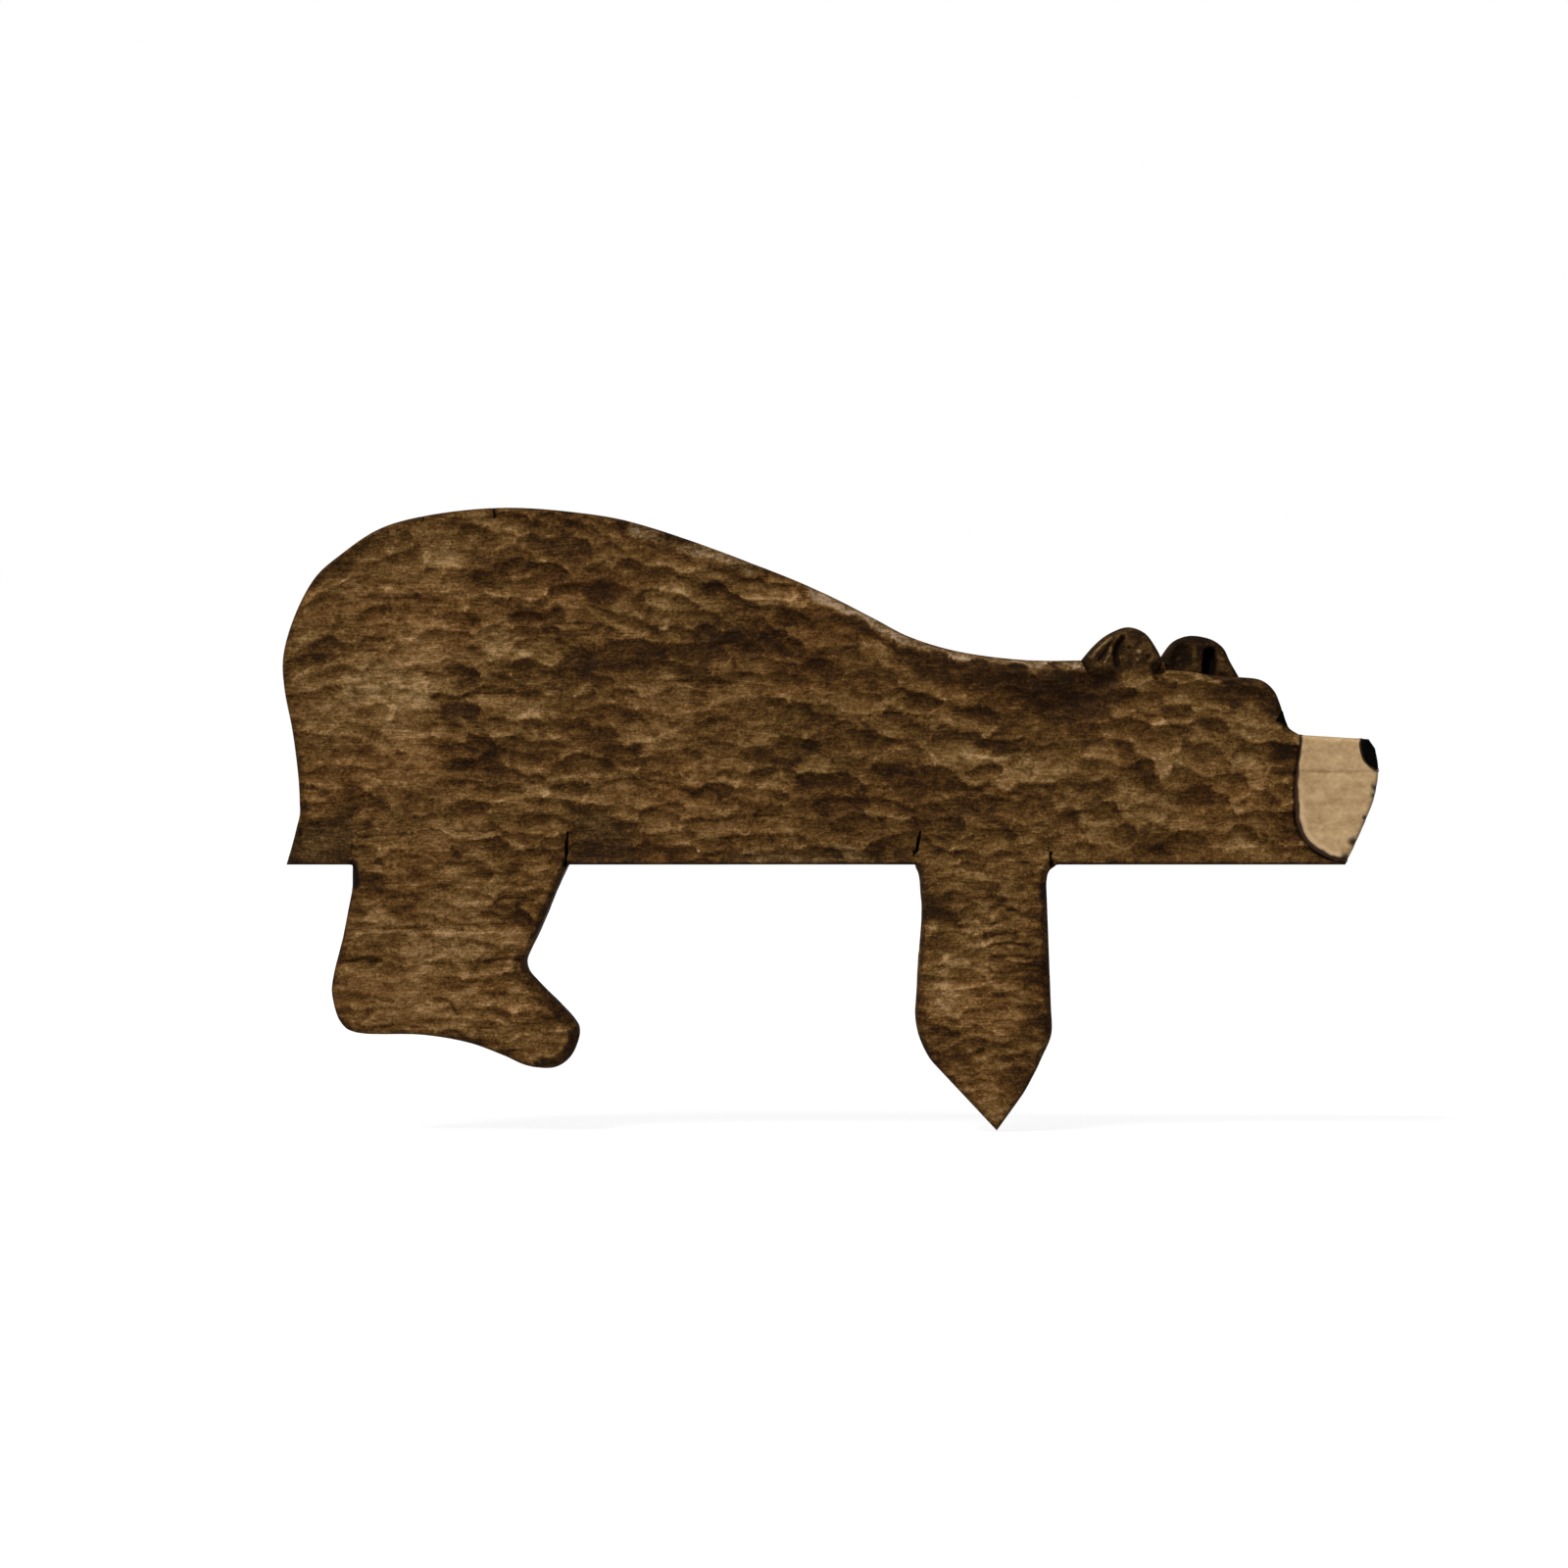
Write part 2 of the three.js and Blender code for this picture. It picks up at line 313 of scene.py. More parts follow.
def seam_closed(node):
    """The outline grown where it meets a neighbour, so that only a hairline is left of the glue line."""
    growth = SEAM_CLOSING * between(nearest_neighbour(node), 0.6, 0.36)
    return loops[node] - inward_normals(loops[node]) * growth[:, None]


closed_loops = {node: seam_closed(node) for node in ROOM_SIDE}


# ---------------------------------------------------------------- the carving

BACK_ABOVE = 33
upper = loops["back_board"][loops["back_board"][:, 1] > BACK_ABOVE]
profile_x = np.linspace(-150, 150, 61)
profile_z = np.array([upper[np.abs(upper[:, 0] - x) < 4, 1].max(initial=BACK_ABOVE) for x in profile_x])
profile_slope = np.gradient(profile_z, profile_x)


def lie_of_cuts(x, z):
    """Cuts run level along the belly and follow the back's slope near the top."""
    share = np.clip(z / np.interp(x, profile_x, profile_z), 0, 1) ** 2
    return np.arctan(np.interp(x, profile_x, profile_slope)) * share * 0.8


def swell(where, x, z, half_length, half_height):
    """A smooth bump, 1 at its middle."""
    r = ((where[:, 0] - x) / half_length) ** 2 + ((where[:, 1] - z) / half_height) ** 2
    return np.exp(-r * r)


# Where the stain soaked in darkest: x, z, half length, half height, strength.
BLOTCHES = [
    (-86.5, 67.6, 4, 4, 0.5),
    (-58, 58.4, 18, 4, 0.55),
    (-78, 52.6, 10, 4, 0.4),
    (-31, 65, 9, 3, 0.5),
    (-64, 76.8, 6, 2.5, 0.45),
    (-105.7, 42.6, 3, 4, 0.5),
    (-95, 31.7, 7, 3, 0.35),
    (-70, 38, 6, 4, 0.25),
    (-135, 17.5, 6, 4, 0.3),
    (-130, 58.5, 9, 2, 0.3),
    (-149.5, 56.8, 4, 4, 0.35),
    (-91, 83, 8, 3, 0.4),
    (-79, 88.5, 6, 3, 0.3),
    (-6, 69.2, 8, 3, 0.45),
    (-25, 63, 10, 2.5, 0.45),
    (-3, 56, 7, 6, 0.4),
    (12.8, 53.3, 9, 2.5, 0.45),
    (22.7, 58.5, 6, 4, 0.35),
    (2, 37.5, 8, 6, 0.25),
    (21, 26.2, 8, 3.5, 0.45),
    (46.5, 34.2, 8, 3.6, 0.5),
    (43, 42.7, 5, 4, 0.35),
    (62, 44, 13, 5.5, 0.6),
    (56, 50.6, 12, 3, 0.8),
    (25, 56.5, 8, 3, 0.6),
    (40, 52.6, 10, 3.2, 0.8),
    (-134, -4, 3.5, 3, 0.8),
    (0.5, 14.5, 6.5, 7, 0.5),
    (30, 22.9, 6, 3, 0.25),
    (36.6, 14.9, 9, 1.5, 0.4),
    (66.4, 34, 9, 2, 0.4),
    (52, 19, 6, 3, 0.3),
    (94.3, 35.3, 6, 4, 0.4),
    (72.5, 22.6, 6, 3, 0.35),
    (96.6, 18.7, 6, 3.5, 0.35),
    (87.3, 5.4, 10, 3, 0.35),
    (120.7, 7.2, 7, 2, 0.35),
    (124.7, 28.5, 5, 3, 0.35),
    (113, 47.5, 6, 2.5, 0.35),
    (-131.5, -8, 3, 5, 0.4),
    (-118, -10, 8, 4, 0.3),
    (-96, -33, 7, 3, 0.25),
    (-90, -14, 9, 3, 0.25),
    (29.5, -12, 4, 3.5, 0.5),
    (57, -30, 5, 4, 0.7),
    (56, -45, 4.5, 6, 0.5),
    (51, -60, 4, 5, 0.4),
]


WAVES = 18
wave_rng = np.random.default_rng(SEED + 1)
wave_length = wave_rng.uniform(4.5, 18.0, WAVES)
wave_turn = wave_rng.uniform(0, 2 * math.pi, WAVES)
wave_start = wave_rng.uniform(0, 2 * math.pi, (2, WAVES))


def torn(where, size=1.2):
    """Places shifted a little, the way torn grain shifts the edges of a cut."""
    heading = np.stack([np.cos(wave_turn), np.sin(wave_turn)]) * (2 * math.pi / wave_length)
    reach = size * wave_length / (wave_length.mean() * math.sqrt(WAVES))
    angle = where @ heading
    shift = np.stack([np.sin(angle + start) @ reach for start in wave_start], axis=1)
    return where + shift * (1.0, 0.6)


class Cuts:
    """A field of gouge cuts. Each one enters gently on its left and stops short on its right."""

    def __init__(self, rng, area_box, pitch, half_length, half_width, depth, level=False):
        (x0, z0), (x1, z1) = area_box
        centres = []
        for row, z in enumerate(np.arange(z0, z1 + pitch[1], pitch[1])):
            start = x0 + pitch[0] * (0.5 * (row % 2) + rng.uniform(-0.25, 0.25))
            for x in np.arange(start, x1 + pitch[0], pitch[0]):
                centres.append((x + rng.normal(0, 0.17 * pitch[0]), z + rng.normal(0, 0.18 * pitch[1])))
        self.centre = np.array(centres)
        count = len(self.centre)
        self.half_length = half_length * rng.uniform(0.72, 1.4, count)
        self.half_width = half_width * rng.uniform(0.82, 1.35, count)
        self.depth = depth * rng.uniform(0.5, 1.35, count)
        self.angle = rng.normal(0, 0.055, count)
        if not level:
            self.angle += lie_of_cuts(self.centre[:, 0], self.centre[:, 1])
        self.tone = rng.uniform(-1, 1, count)
        self.stop = 1.25 * rng.uniform(0, 1, count) ** 2
        self.crisp = rng.uniform(0.3, 1.7, count)
        self.soaked = np.zeros(count)
        for x, z, long, high, dark in BLOTCHES:
            self.soaked += dark * swell(self.centre, x, z, long + 2, high + 1)

    def cut(self, index, where):
        """Depth made by the given cuts at the given points, and the place along and across each cut."""
        off = where - self.centre[index]
        c, s = np.cos(self.angle[index]), np.sin(self.angle[index])
        u = (off[:, 0] * c + off[:, 1] * s) / self.half_length[index]
        v = (-off[:, 0] * s + off[:, 1] * c) / self.half_width[index]
        enter = between(u, -1.0, 0.2)
        leave = np.sqrt(np.clip(1 - (np.clip(u - 0.62, 0, None) / 0.38) ** 2, 0, 1))
        depth = self.depth[index] * (enter * leave - v * v)
        return np.where(np.abs(u) > 1, -1.0, depth), u, v

    def near(self, index, where):
        reach = self.half_length[index] + 0.5
        x, z = self.centre[index]
        close = (np.abs(where[:, 0] - x) < reach) & (np.abs(where[:, 1] - z) < 0.7 * reach)
        return np.nonzero(close)[0]

    def deepest(self, where):
        """The depth and the cut that made it (-1 for none), then the same for the next deepest cut."""
        where = torn(where)
        depth, second = np.zeros(len(where)), np.zeros(len(where))
        winner, runner_up = np.full(len(where), -1), np.full(len(where), -1)
        for index in range(len(self.centre)):
            near = self.near(index, where)
            value = self.cut(index, where[near])[0]
            wins = value > depth[near]
            hit = near[wins]
            second[hit], runner_up[hit] = depth[hit], winner[hit]
            depth[hit], winner[hit] = value[wins], index
            closer = ~wins & (value > second[near])
            second[near[closer]], runner_up[near[closer]] = value[closer], index
        return depth, winner, second, runner_up

    def ridges(self, low, high, step=(0.45, 0.35)):
        """Points on the ridges where two cuts meet."""
        across, up = (np.arange(low[axis], high[axis], step[axis]) for axis in (0, 1))
        grid = np.stack(np.meshgrid(across, up, indexing="ij"), axis=2)
        winner = self.deepest(grid.reshape(-1, 2))[1].reshape(grid.shape[:2])

        def lead(first, second, where):
            def height(index):
                return np.where(index < 0, 0.0, self.cut(np.maximum(index, 0), torn(where))[0])

            return height(first) - height(second)

        found = []
        for axis in (0, 1):
            starts, ends = range(grid.shape[axis] - 1), range(1, grid.shape[axis])
            a, b = np.take(winner, starts, axis=axis), np.take(winner, ends, axis=axis)
            change = a != b
            p = np.take(grid, starts, axis=axis)[change]
            q = np.take(grid, ends, axis=axis)[change]
            a, b = a[change], b[change]
            before, after = lead(a, b, p), lead(b, a, q)
            t = np.clip(before / (before + after + 1e-9), 0.02, 0.98)
            found.append(p + (q - p) * t[:, None])
        return np.concatenate(found)

    def shade(self, index, where, gap):
        """How dark a cut's colour is: staining by its tone and blotches and at its stop, with painted
        shade under its upper ridge and at its stop, and a painted highlight on its lower lip.
        """
        i = np.maximum(index, 0)
        _, u, v = self.cut(i, torn(where))
        # The stop darkens by staining in the end grain and by painted shade; the slant and ridge terms
        # are painted shade on the upper wall and a painted highlight on the lower wall.
        stop = self.stop[i] * between(u, -0.1, 0.95) * (0.25 + 0.75 * between(v, -0.8, 0.5))
        painted_slant_shade = np.where(v > 0, 0.13, 0.1) * np.clip(v, -1, 1)
        ridge = np.where(v > 0, 0.3, -0.3) * between(np.abs(v), 0.05, 0.5) * self.crisp[i]
        soaked = 0.5 * self.soaked[i] * (0.6 + 0.5 * between(u, -1, 0.6))
        total = 0.07 * self.tone[i] + 0.36 * stop + soaked + painted_slant_shade + np.exp(-gap / 0.2) * ridge
        return np.where(index < 0, 0.0, total)

    def at(self, where):
        """Depth of the carved surface, and the darkness of the colour in the cuts: staining plus painted
        shade and highlight.
        """
        depth, winner, second, runner_up = self.deepest(where)
        gap = depth - second
        even = 0.5 * np.exp(-gap / 0.012)
        shade = (1 - even) * self.shade(winner, where, gap) + even * self.shade(runner_up, where, gap)
        return depth, shade


rng = np.random.default_rng(SEED)
body_cuts = Cuts(rng, ((-156, -2), (66, 102)), (13.0, 4.4), 10.5, 3.7, 1.15)
head_cuts = Cuts(rng, ((56, -2), (134, 62)), (11.5, 5.0), 10.5, 4.1, 1.3)
leg_cuts = Cuts(rng, ((-142, -76), (66, 10)), (9.5, 2.9), 7.5, 2.2, 0.42, level=True)
wall_cuts = Cuts(rng, ((-20, -32), (900, 14)), (15.0, 6.5), 12.0, 4.6, 0.42, level=True)


def shares(where):
    """How much of the body's, the head's and the legs' kind of cut a place gets."""
    leg = between(where[:, 1], 3.5, -2.5)
    head = between(where[:, 0], 58, 70) * (1 - leg)
    return 1 - leg - head, head, leg


# Soft hollows: x, z, half length, half height, depth, and how much darker the hollow is, a painted shade
# in the hollow.
HOLLOWS = [
    (66.5, 43, 8.5, 4.6, 1.3, 0.2),
    (75, 51.8, 4.4, 3.2, 1.5, 0.45),
    (91.2, 53, 1.6, 1.6, 1.2, 0.5),
    (-46, 91, 9, 3, 0.6, 0.2),
    (17, 4.5, 6, 4, 0.8, 0.3),
]

# Where the stain took thinly: x, z, half length, half height, and how much lighter.
PALE = [
    (-124, 58, 28, 34, 0.1),
    (-70, 30, 34, 10, -0.05),
    (-30, 42, 48, 34, -0.04),
    (45, 24, 18, 12, 0.05),
    (-112, -38, 28, 13, 0.15),
    (-107, -14, 21, 12, 0.03),
    (33, -37, 6, 5, 0.22),
    (40, -30, 22, 34, -0.03),
    (40, -22, 9, 9, 0.07),
    (98, 28, 28, 18, 0.1),
    (-12, 3, 18, 2.6, 0.14),
]


class Patch:
    """An area with a crisp edge, sunk by depth, darkened by dark as painted shade of the recess, and
    tinted olive-grey by its grey tint.
    """

    def __init__(self, corners, depth, dark, bloom=0.0, edge=1.6):
        self.loop = smoothed(np.array(corners, float), 0.8, corner=math.radians(50), straight=400)
        self.line = Line(self.loop)
        self.depth, self.dark, self.bloom, self.edge = depth, dark, bloom, edge

    def amount(self, where):
        low, high = self.loop.min(axis=0) - 1, self.loop.max(axis=0) + 1
        near = np.nonzero(np.all((where > low) & (where < high), axis=1))[0]
        share = np.zeros(len(where))
        if len(near):
            inside = is_inside(self.loop, where[near])
            signed = self.line.distance(where[near]) * np.where(inside, 1, -1)
            share[near] = between(signed, -0.3, self.edge)
        return share


TAIL = [
    (-147.4, 13.2),
    (-140.5, 13.6),
    (-135, 15.6),
    (-131.4, 16.4),
    (-131.6, -2),
    (-154, -2),
    (-151.5, 7),
]
FLANK = [(-73.4, 13), (-68.5, 17), (-61.5, 15.5), (-56, 9.5), (-49.5, -1), (-73.4, -1)]
# The sunk tail and flank: darker as painted shade of the recess, and tinted olive-grey.
PATCHES = [
    Patch(TAIL, 1.5, 0.25, bloom=0.7, edge=2.6),
    Patch(FLANK, 1.4, 0.17, bloom=0.7, edge=3.5),
]


def stretch(node, x_range, z_range):
    """The part of a piece's outline inside a box."""
    loop = loops[node]
    (x0, x1), (z0, z1) = x_range, z_range
    picked = (loop[:, 0] > x0) & (loop[:, 0] < x1) & (loop[:, 1] > z0) & (loop[:, 1] < z1)
    start = int(np.argmin(picked))
    return Line(np.roll(loop, -start, axis=0)[np.roll(picked, -start)], closed=False)


# Bevels pared along the outline: where, width, depth at the edge, shade, grey tint and sheen, shade at
# their foot. The shade darkens the bevels on the legs and the brow and lightens those along the top of
# the neck and back, a painted highlight with a grey painted sheen there; the shade at their foot paints
# a shadow below the neck and back bevels and a lighter line below the hind toe's bevel.
BEVELS = [
    (stretch("hind_leg", (-88, -72), (-28.5, 0.5)), 1.7, 1.3, 0.16, 0, 0),
    (stretch("hind_leg", (-87, -70), (-46.5, -27)), 3.8, 2.4, 0.3, 0.3, 0),
    (stretch("hind_leg", (-80.5, -68), (-58, -48.5)), 3, 2.2, 0.34, 0, -0.2),
    (stretch("hind_leg", (-138, -131), (-26, 0)), 1.8, 1.2, 0.18, 0, 0),
    (stretch("front_leg", (22, 28), (-52, 0)), 1.8, 1.2, 0.16, 0, 0),
    (stretch("front_leg", (57, 63), (-55, -1)), 2.2, 1.6, 0.2, 0, 0),
    (stretch("front_board", (-4, 71), (50, 80)), 3.4, 2, -0.3, 0.9, 0.34),
    (stretch("front_board", (-53, -22), (70, 98)), 4.2, 1.8, -0.22, 0.9, 0.2),
    (stretch("front_board", (-28, 12), (-1, 1)), 4.4, 1.5, -0.04, 0.6, 0),
    (stretch("front_board", (105, 131), (38, 54)), 2.2, 1.6, 0.16, 0.3, 0),
]

# Raised lines left between cuts: points, half width, height, shade. The shade is negative, so each
# raised line is lighter: a painted highlight.
CRESTS = [
    ([(48, 54.6), (58, 52.4), (68, 49.8), (77, 48)], 0.9, 0.5, -0.34),
    ([(92.8, 53), (97, 53.5), (101, 53.2), (105.5, 51.6), (110, 49.8)], 0.7, 0.3, -0.34),
    ([(39, 30.6), (46, 29.4), (53, 31)], 0.6, 0.3, -0.3),
    ([(-132, -19.3), (-118, -18.8), (-104, -19.4), (-88, -18.6)], 0.5, 0.25, -0.22),
    ([(-102, -6.4), (-94, -6), (-84, -7.2)], 0.45, 0.25, -0.2),
]

# Short dark strokes of the knife: points, half width, depth, shade.
STROKES = [
    ([(43.9, -12.4), (48, -12), (52.8, -13.6)], 0.4, 0.45, 0.45),
    ([(44.6, -16.4), (48.5, -15.8), (52.8, -16.4)], 0.36, 0.45, 0.45),
    ([(45, -19.4), (48.5, -18.9), (51, -19.2)], 0.36, 0.4, 0.45),
    ([(45.2, -22.5), (50, -21.8), (54.4, -22.6)], 0.4, 0.45, 0.5),
    ([(45.4, -25.6), (51, -25), (57.4, -26)], 0.42, 0.45, 0.5),
    ([(50.7, -30), (55, -29.6), (60, -30.8)], 0.5, 0.45, 0.5),
    ([(30.8, -54.4), (36.5, -53.2), (42.3, -51.6)], 0.5, 0.5, 0.45),
    ([(-136, -27.2), (-131, -26.5), (-125.5, -26.9)], 0.4, 0.45, 0.45),
    ([(-96, -26.9), (-91.5, -26.2), (-86.7, -26.8)], 0.4, 0.45, 0.45),
    ([(-94, -10.6), (-90.5, -9.2), (-82.8, -10)], 0.45, 0.45, 0.45),
    ([(-110, -37.6), (-106, -38.6), (-104.6, -41.4)], 0.5, 0.4, 0.35),
    ([(-128, -45.6), (-120, -44.8), (-113, -45.6)], 0.4, 0.3, 0.25),
    ([(112, 25.2), (120, 25.8), (127, 25.5), (134, 25.8)], 0.4, 0.35, 0.35),
    ([(-47, 50.6), (-38, 51.4), (-26, 51)], 0.4, 0.3, 0.35),
    ([(-106, 46.6), (-96, 47.6), (-84, 47)], 0.4, 0.35, 0.35),
    ([(-80, 66.4), (-72, 67.4), (-64, 66.2), (-58, 63.6)], 0.45, 0.4, 0.4),
    ([(-52, 24), (-44, 22.4), (-38, 19.6)], 0.4, 0.3, 0.3),
    ([(-38, 12.4), (-22, 13.4), (-8, 12.6)], 0.4, 0.3, 0.3),
    ([(8, 41), (16, 42.2), (26, 41.4)], 0.4, 0.3, 0.3),
    ([(78, 40.6), (88, 41.8), (98, 41)], 0.4, 0.3, 0.3),
]


def as_lines(marks):
    """The marks with their points made into smooth lines."""
    return [(Line(smooth_path(points), closed=False), *values) for points, *values in marks]


crests = as_lines(CRESTS)
strokes = as_lines(STROKES)


class Nick:
    """A V-cut made with a knife: from start to end, with a half width at each end."""

    def __init__(self, start, end, wide_start, wide_end, depth):
        self.start, self.end = np.array(start, float), np.array(end, float)
        self.wide_start, self.wide_end, self.depth = wide_start, wide_end, depth

    def amount(self, where):
        along = self.end - self.start
        t = np.clip((where - self.start) @ along / (along @ along), 0, 1)
        away = np.linalg.norm(where - self.start - t[:, None] * along, axis=1)
        wide = self.wide_start + (self.wide_end - self.wide_start) * t
        return 1 - between(away / wide, 0.45, 1.1)


def root_corners(leg):
    """Top left and top right corners of a leg's root, where it is let into the board."""
    loop = raw_loops[leg]
    top = loop[loop[:, 1] > 5]
    return top[np.argmin(top[:, 0])], top[np.argmax(top[:, 0])]


hind_left, hind_right = root_corners("hind_leg")
front_left, front_right = root_corners("front_leg")
NICKS = [
    Nick((hind_right[0] + 0.1, hind_right[1] - 0.6), (hind_right[0] - 0.1, 3.5), 0.12, 0.5, 2.2),
    Nick((hind_right[0] - 0.1, 3.5), (hind_right[0] - 0.5, -0.4), 0.5, 0.35, 2.2),
    Nick((front_left[0] - 0.2, front_left[1]), (front_left[0] - 1.2, 4), 0.15, 0.5, 2.2),
    Nick((front_left[0] - 1.2, 4), (front_left[0] - 2.6, 1.6), 0.5, 0.15, 2),
    Nick((front_right[0] + 0.6, 4.8), (front_right[0] + 1.3, 0), 0.15, 0.7, 1.6),
    Nick((hind_left[0] + 0.6, -0.4), (hind_left[0] + 0.9, -5.2), 1.3, 1.9, 1.4),
    Nick((-114.6, 98), (-113, 95.2), 0.9, 0.2, 0.9),
    Nick((-94, 100), (-93.6, 97.2), 0.9, 0.2, 0.9),
]


def rim_profile(distance, radius):
    """How far a rounded rim falls back at a distance from the edge."""
    inside = np.clip(radius - distance, 0, radius)
    return radius - np.sqrt(radius * radius - inside * inside)


TURN = 6.283
WANDER_WAVES = ((0.71, 0.43, 1.0), (-0.37, 0.83, 2.1), (1.13, -0.29, 3.7))


def wander(where, length, phase):
    """A slow smooth variation between -1 and 1."""
    x, z = where[:, 0] / length, where[:, 1] / length
    return sum(np.sin(TURN * (a * x + b * z) + c * phase) for a, b, c in WANDER_WAVES) / 3


RIM_ROUND = 1.7
SEAM_HALF_WIDTH = 0.6
BASE_STAIN = 0.46
DARK_STAIN = 0.7
LEG_SHADE = 0.7
RUMP_SOFTENING = 0.35


def gouged(where):
    """Depth and shade of the gouge cuts. They are softer on the rump and fainter on the legs."""
    depth, shade = np.zeros(len(where)), np.zeros(len(where))
    for cuts, share in zip((body_cuts, head_cuts, leg_cuts), shares(where)):
        touched = np.nonzero(share > 0)[0]
        part_depth, part_shade = cuts.at(where[touched])
        depth[touched] += share[touched] * part_depth
        shade[touched] += share[touched] * part_shade * (LEG_SHADE if cuts is leg_cuts else 1.0)
    kept = 1 - RUMP_SOFTENING * between(-where[:, 0], 92, 118)
    return depth * kept, shade * kept


def bevelled(where):
    """Depth, colour darkness and grey tint of the pared bevels, with fine streaks along them. Their
    darkening and lightening are painted shade and highlight, with a painted sheen, and a painted shadow
    at their foot.
    """
    depth, stain_and_shade, bloom = np.zeros((3, len(where)))
    for line, width, sink, dark, grey, painted_foot_shade in BEVELS:
        away = line.distance(where) + 0.5 * wander(where, 6, 1.7)
        amount = np.clip(1 - away / (width * (1 + 0.3 * wander(where, 23, 0.4))), 0, 1)
        depth += sink * amount
        pared = between(amount, 0.0, 0.3)
        stain_and_shade += (dark + 0.12 * np.sin(away * 5.2 + 2 * wander(where, 17, 0.9))) * pared
        stain_and_shade += painted_foot_shade * np.exp(-(((away - 1.25 * width) / 0.9) ** 2))
        bloom = np.maximum(bloom, grey * pared)
    return depth, stain_and_shade, bloom


def soft_marks(where):
    """Depth and colour darkness of the hollows, of the dark blotches and of the places stained thinly.
    The hollows' darkness is painted shade; the blotches and thin places are staining.
    """
    depth, stain_and_shade = np.zeros((2, len(where)))
    for x, z, half_length, half_height, sink, dark in HOLLOWS:
        amount = swell(where, x, z, half_length, half_height)
        depth += sink * amount
        stain_and_shade += dark * amount
    for x, z, half_length, half_height, dark in BLOTCHES:
        stain_and_shade += 0.3 * dark * swell(torn(where), x, z, half_length, half_height)
    for x, z, half_length, half_height, pale in PALE:
        stain_and_shade -= pale * swell(where, x, z, half_length, half_height)
    return depth, stain_and_shade


def chin_share(where):
    """From 0 at the muzzle's top to 1 at the chin."""
    return between(where[:, 1], 32, 12)


def muzzle_seam(where):
    """How much of the seam's groove beside the muzzle a place gets. It is wider at the chin."""
    width = SEAM_HALF_WIDTH * (1 + 0.7 * chin_share(where) + 0.3 * wander(where, 4, 2.6))
    return 1 - between(lines["muzzle"].distance(where) / width, 0.45, 1.0)


def carving(where):
    """Depth, colour darkness, soot and grey tint of the carved front of the boards and legs. The
    darkness holds staining and painted shade and highlight; the grey tint holds a real grey and a
    painted sheen.
    """
    depth, shade = gouged(where)
    edge = rim_distance(where)
    depth = depth * between(edge, 0.0, 2.0) + rim_profile(edge, RIM_ROUND + 0.4 * wander(where, 37, 1.0))
    stain_and_shade = BASE_STAIN + shade + 0.24 * np.exp(-(edge**2)) + 0.05 * np.exp(-((edge / 4) ** 2))
    sink, dark, bloom = bevelled(where)
    depth, stain_and_shade = depth + sink, stain_and_shade + dark
    for patch in PATCHES:
        amount = patch.amount(where)
        depth = depth * (1 - 0.5 * amount) + patch.depth * amount
        stain_and_shade += (patch.dark - 0.5 * shade) * amount
        bloom = np.maximum(bloom, patch.bloom * amount)
    sink, dark = soft_marks(where)
    depth, stain_and_shade = depth + sink, stain_and_shade + dark
    for line, half_width, rise, dark in crests:
        amount = np.exp(-((line.distance(where) / half_width) ** 2))
        depth -= np.minimum(rise, depth) * amount
        stain_and_shade += dark * amount
    for line, half_width, sink, dark in strokes:
        amount = np.exp(-((line.distance(torn(where, 0.5)) / half_width) ** 2))
        depth += sink * amount
        stain_and_shade += dark * amount
    # A painted shade along the belly's lower edge.
    stain_and_shade += 0.3 * np.exp(-((where[:, 1] / 0.7) ** 2)) * (where[:, 1] > -0.5) * between(edge, 1.2, 0.3)
    over = np.maximum(stain_and_shade - DARK_STAIN, 0)
    stain_and_shade = np.minimum(stain_and_shade, DARK_STAIN) + 0.16 * np.tanh(over / 0.3)
    soot = np.zeros(len(where))
    for nick in NICKS:
        amount = nick.amount(where)
        depth += nick.depth * amount
        soot = np.maximum(soot, amount)
    seam = muzzle_seam(where)
    soot = np.maximum(soot, seam * (0.4 + 0.35 * chin_share(where)))
    return depth + 0.4 * seam, stain_and_shade, soot, bloom


# ---------------------------------------------------------------- solids


def grid_inside(loop, line, pitch, margin):
    """A staggered grid of points inside a loop, at least margin from it."""
    rows = []
    z0, z1 = loop[:, 1].min(), loop[:, 1].max()
    a, b = loop, np.roll(loop, -1, axis=0)
    for row, z in enumerate(np.arange(z0 + margin, z1 - margin, pitch * 0.87)):
        crossing = (a[:, 1] > z) != (b[:, 1] > z)
        t = (z - a[crossing, 1]) / (b[crossing, 1] - a[crossing, 1])
        xs = np.sort(a[crossing, 0] + t * (b[crossing, 0] - a[crossing, 0]))
        for x0, x1 in zip(xs[::2], xs[1::2]):
            first = math.ceil(x0 / pitch) * pitch + (row % 2) * 0.5 * pitch
            inside = np.arange(first, x1, pitch)
            rows.append(np.stack([inside, np.full(len(inside), z)], axis=1))
    points = np.concatenate(rows) if rows else np.empty((0, 2))
    return points[line.distance(points) > margin] if len(points) else points


def rings_inside(loop, line, offsets):
    """Points on copies of a loop that are moved inward by the offsets."""
    normals = inward_normals(loop)
    rings = []
    for offset in offsets:
        ring = loop + normals * offset
        rings.append(ring[line.distance(ring) > 0.93 * offset])
    return np.concatenate(rings) if rings else np.empty((0, 2))


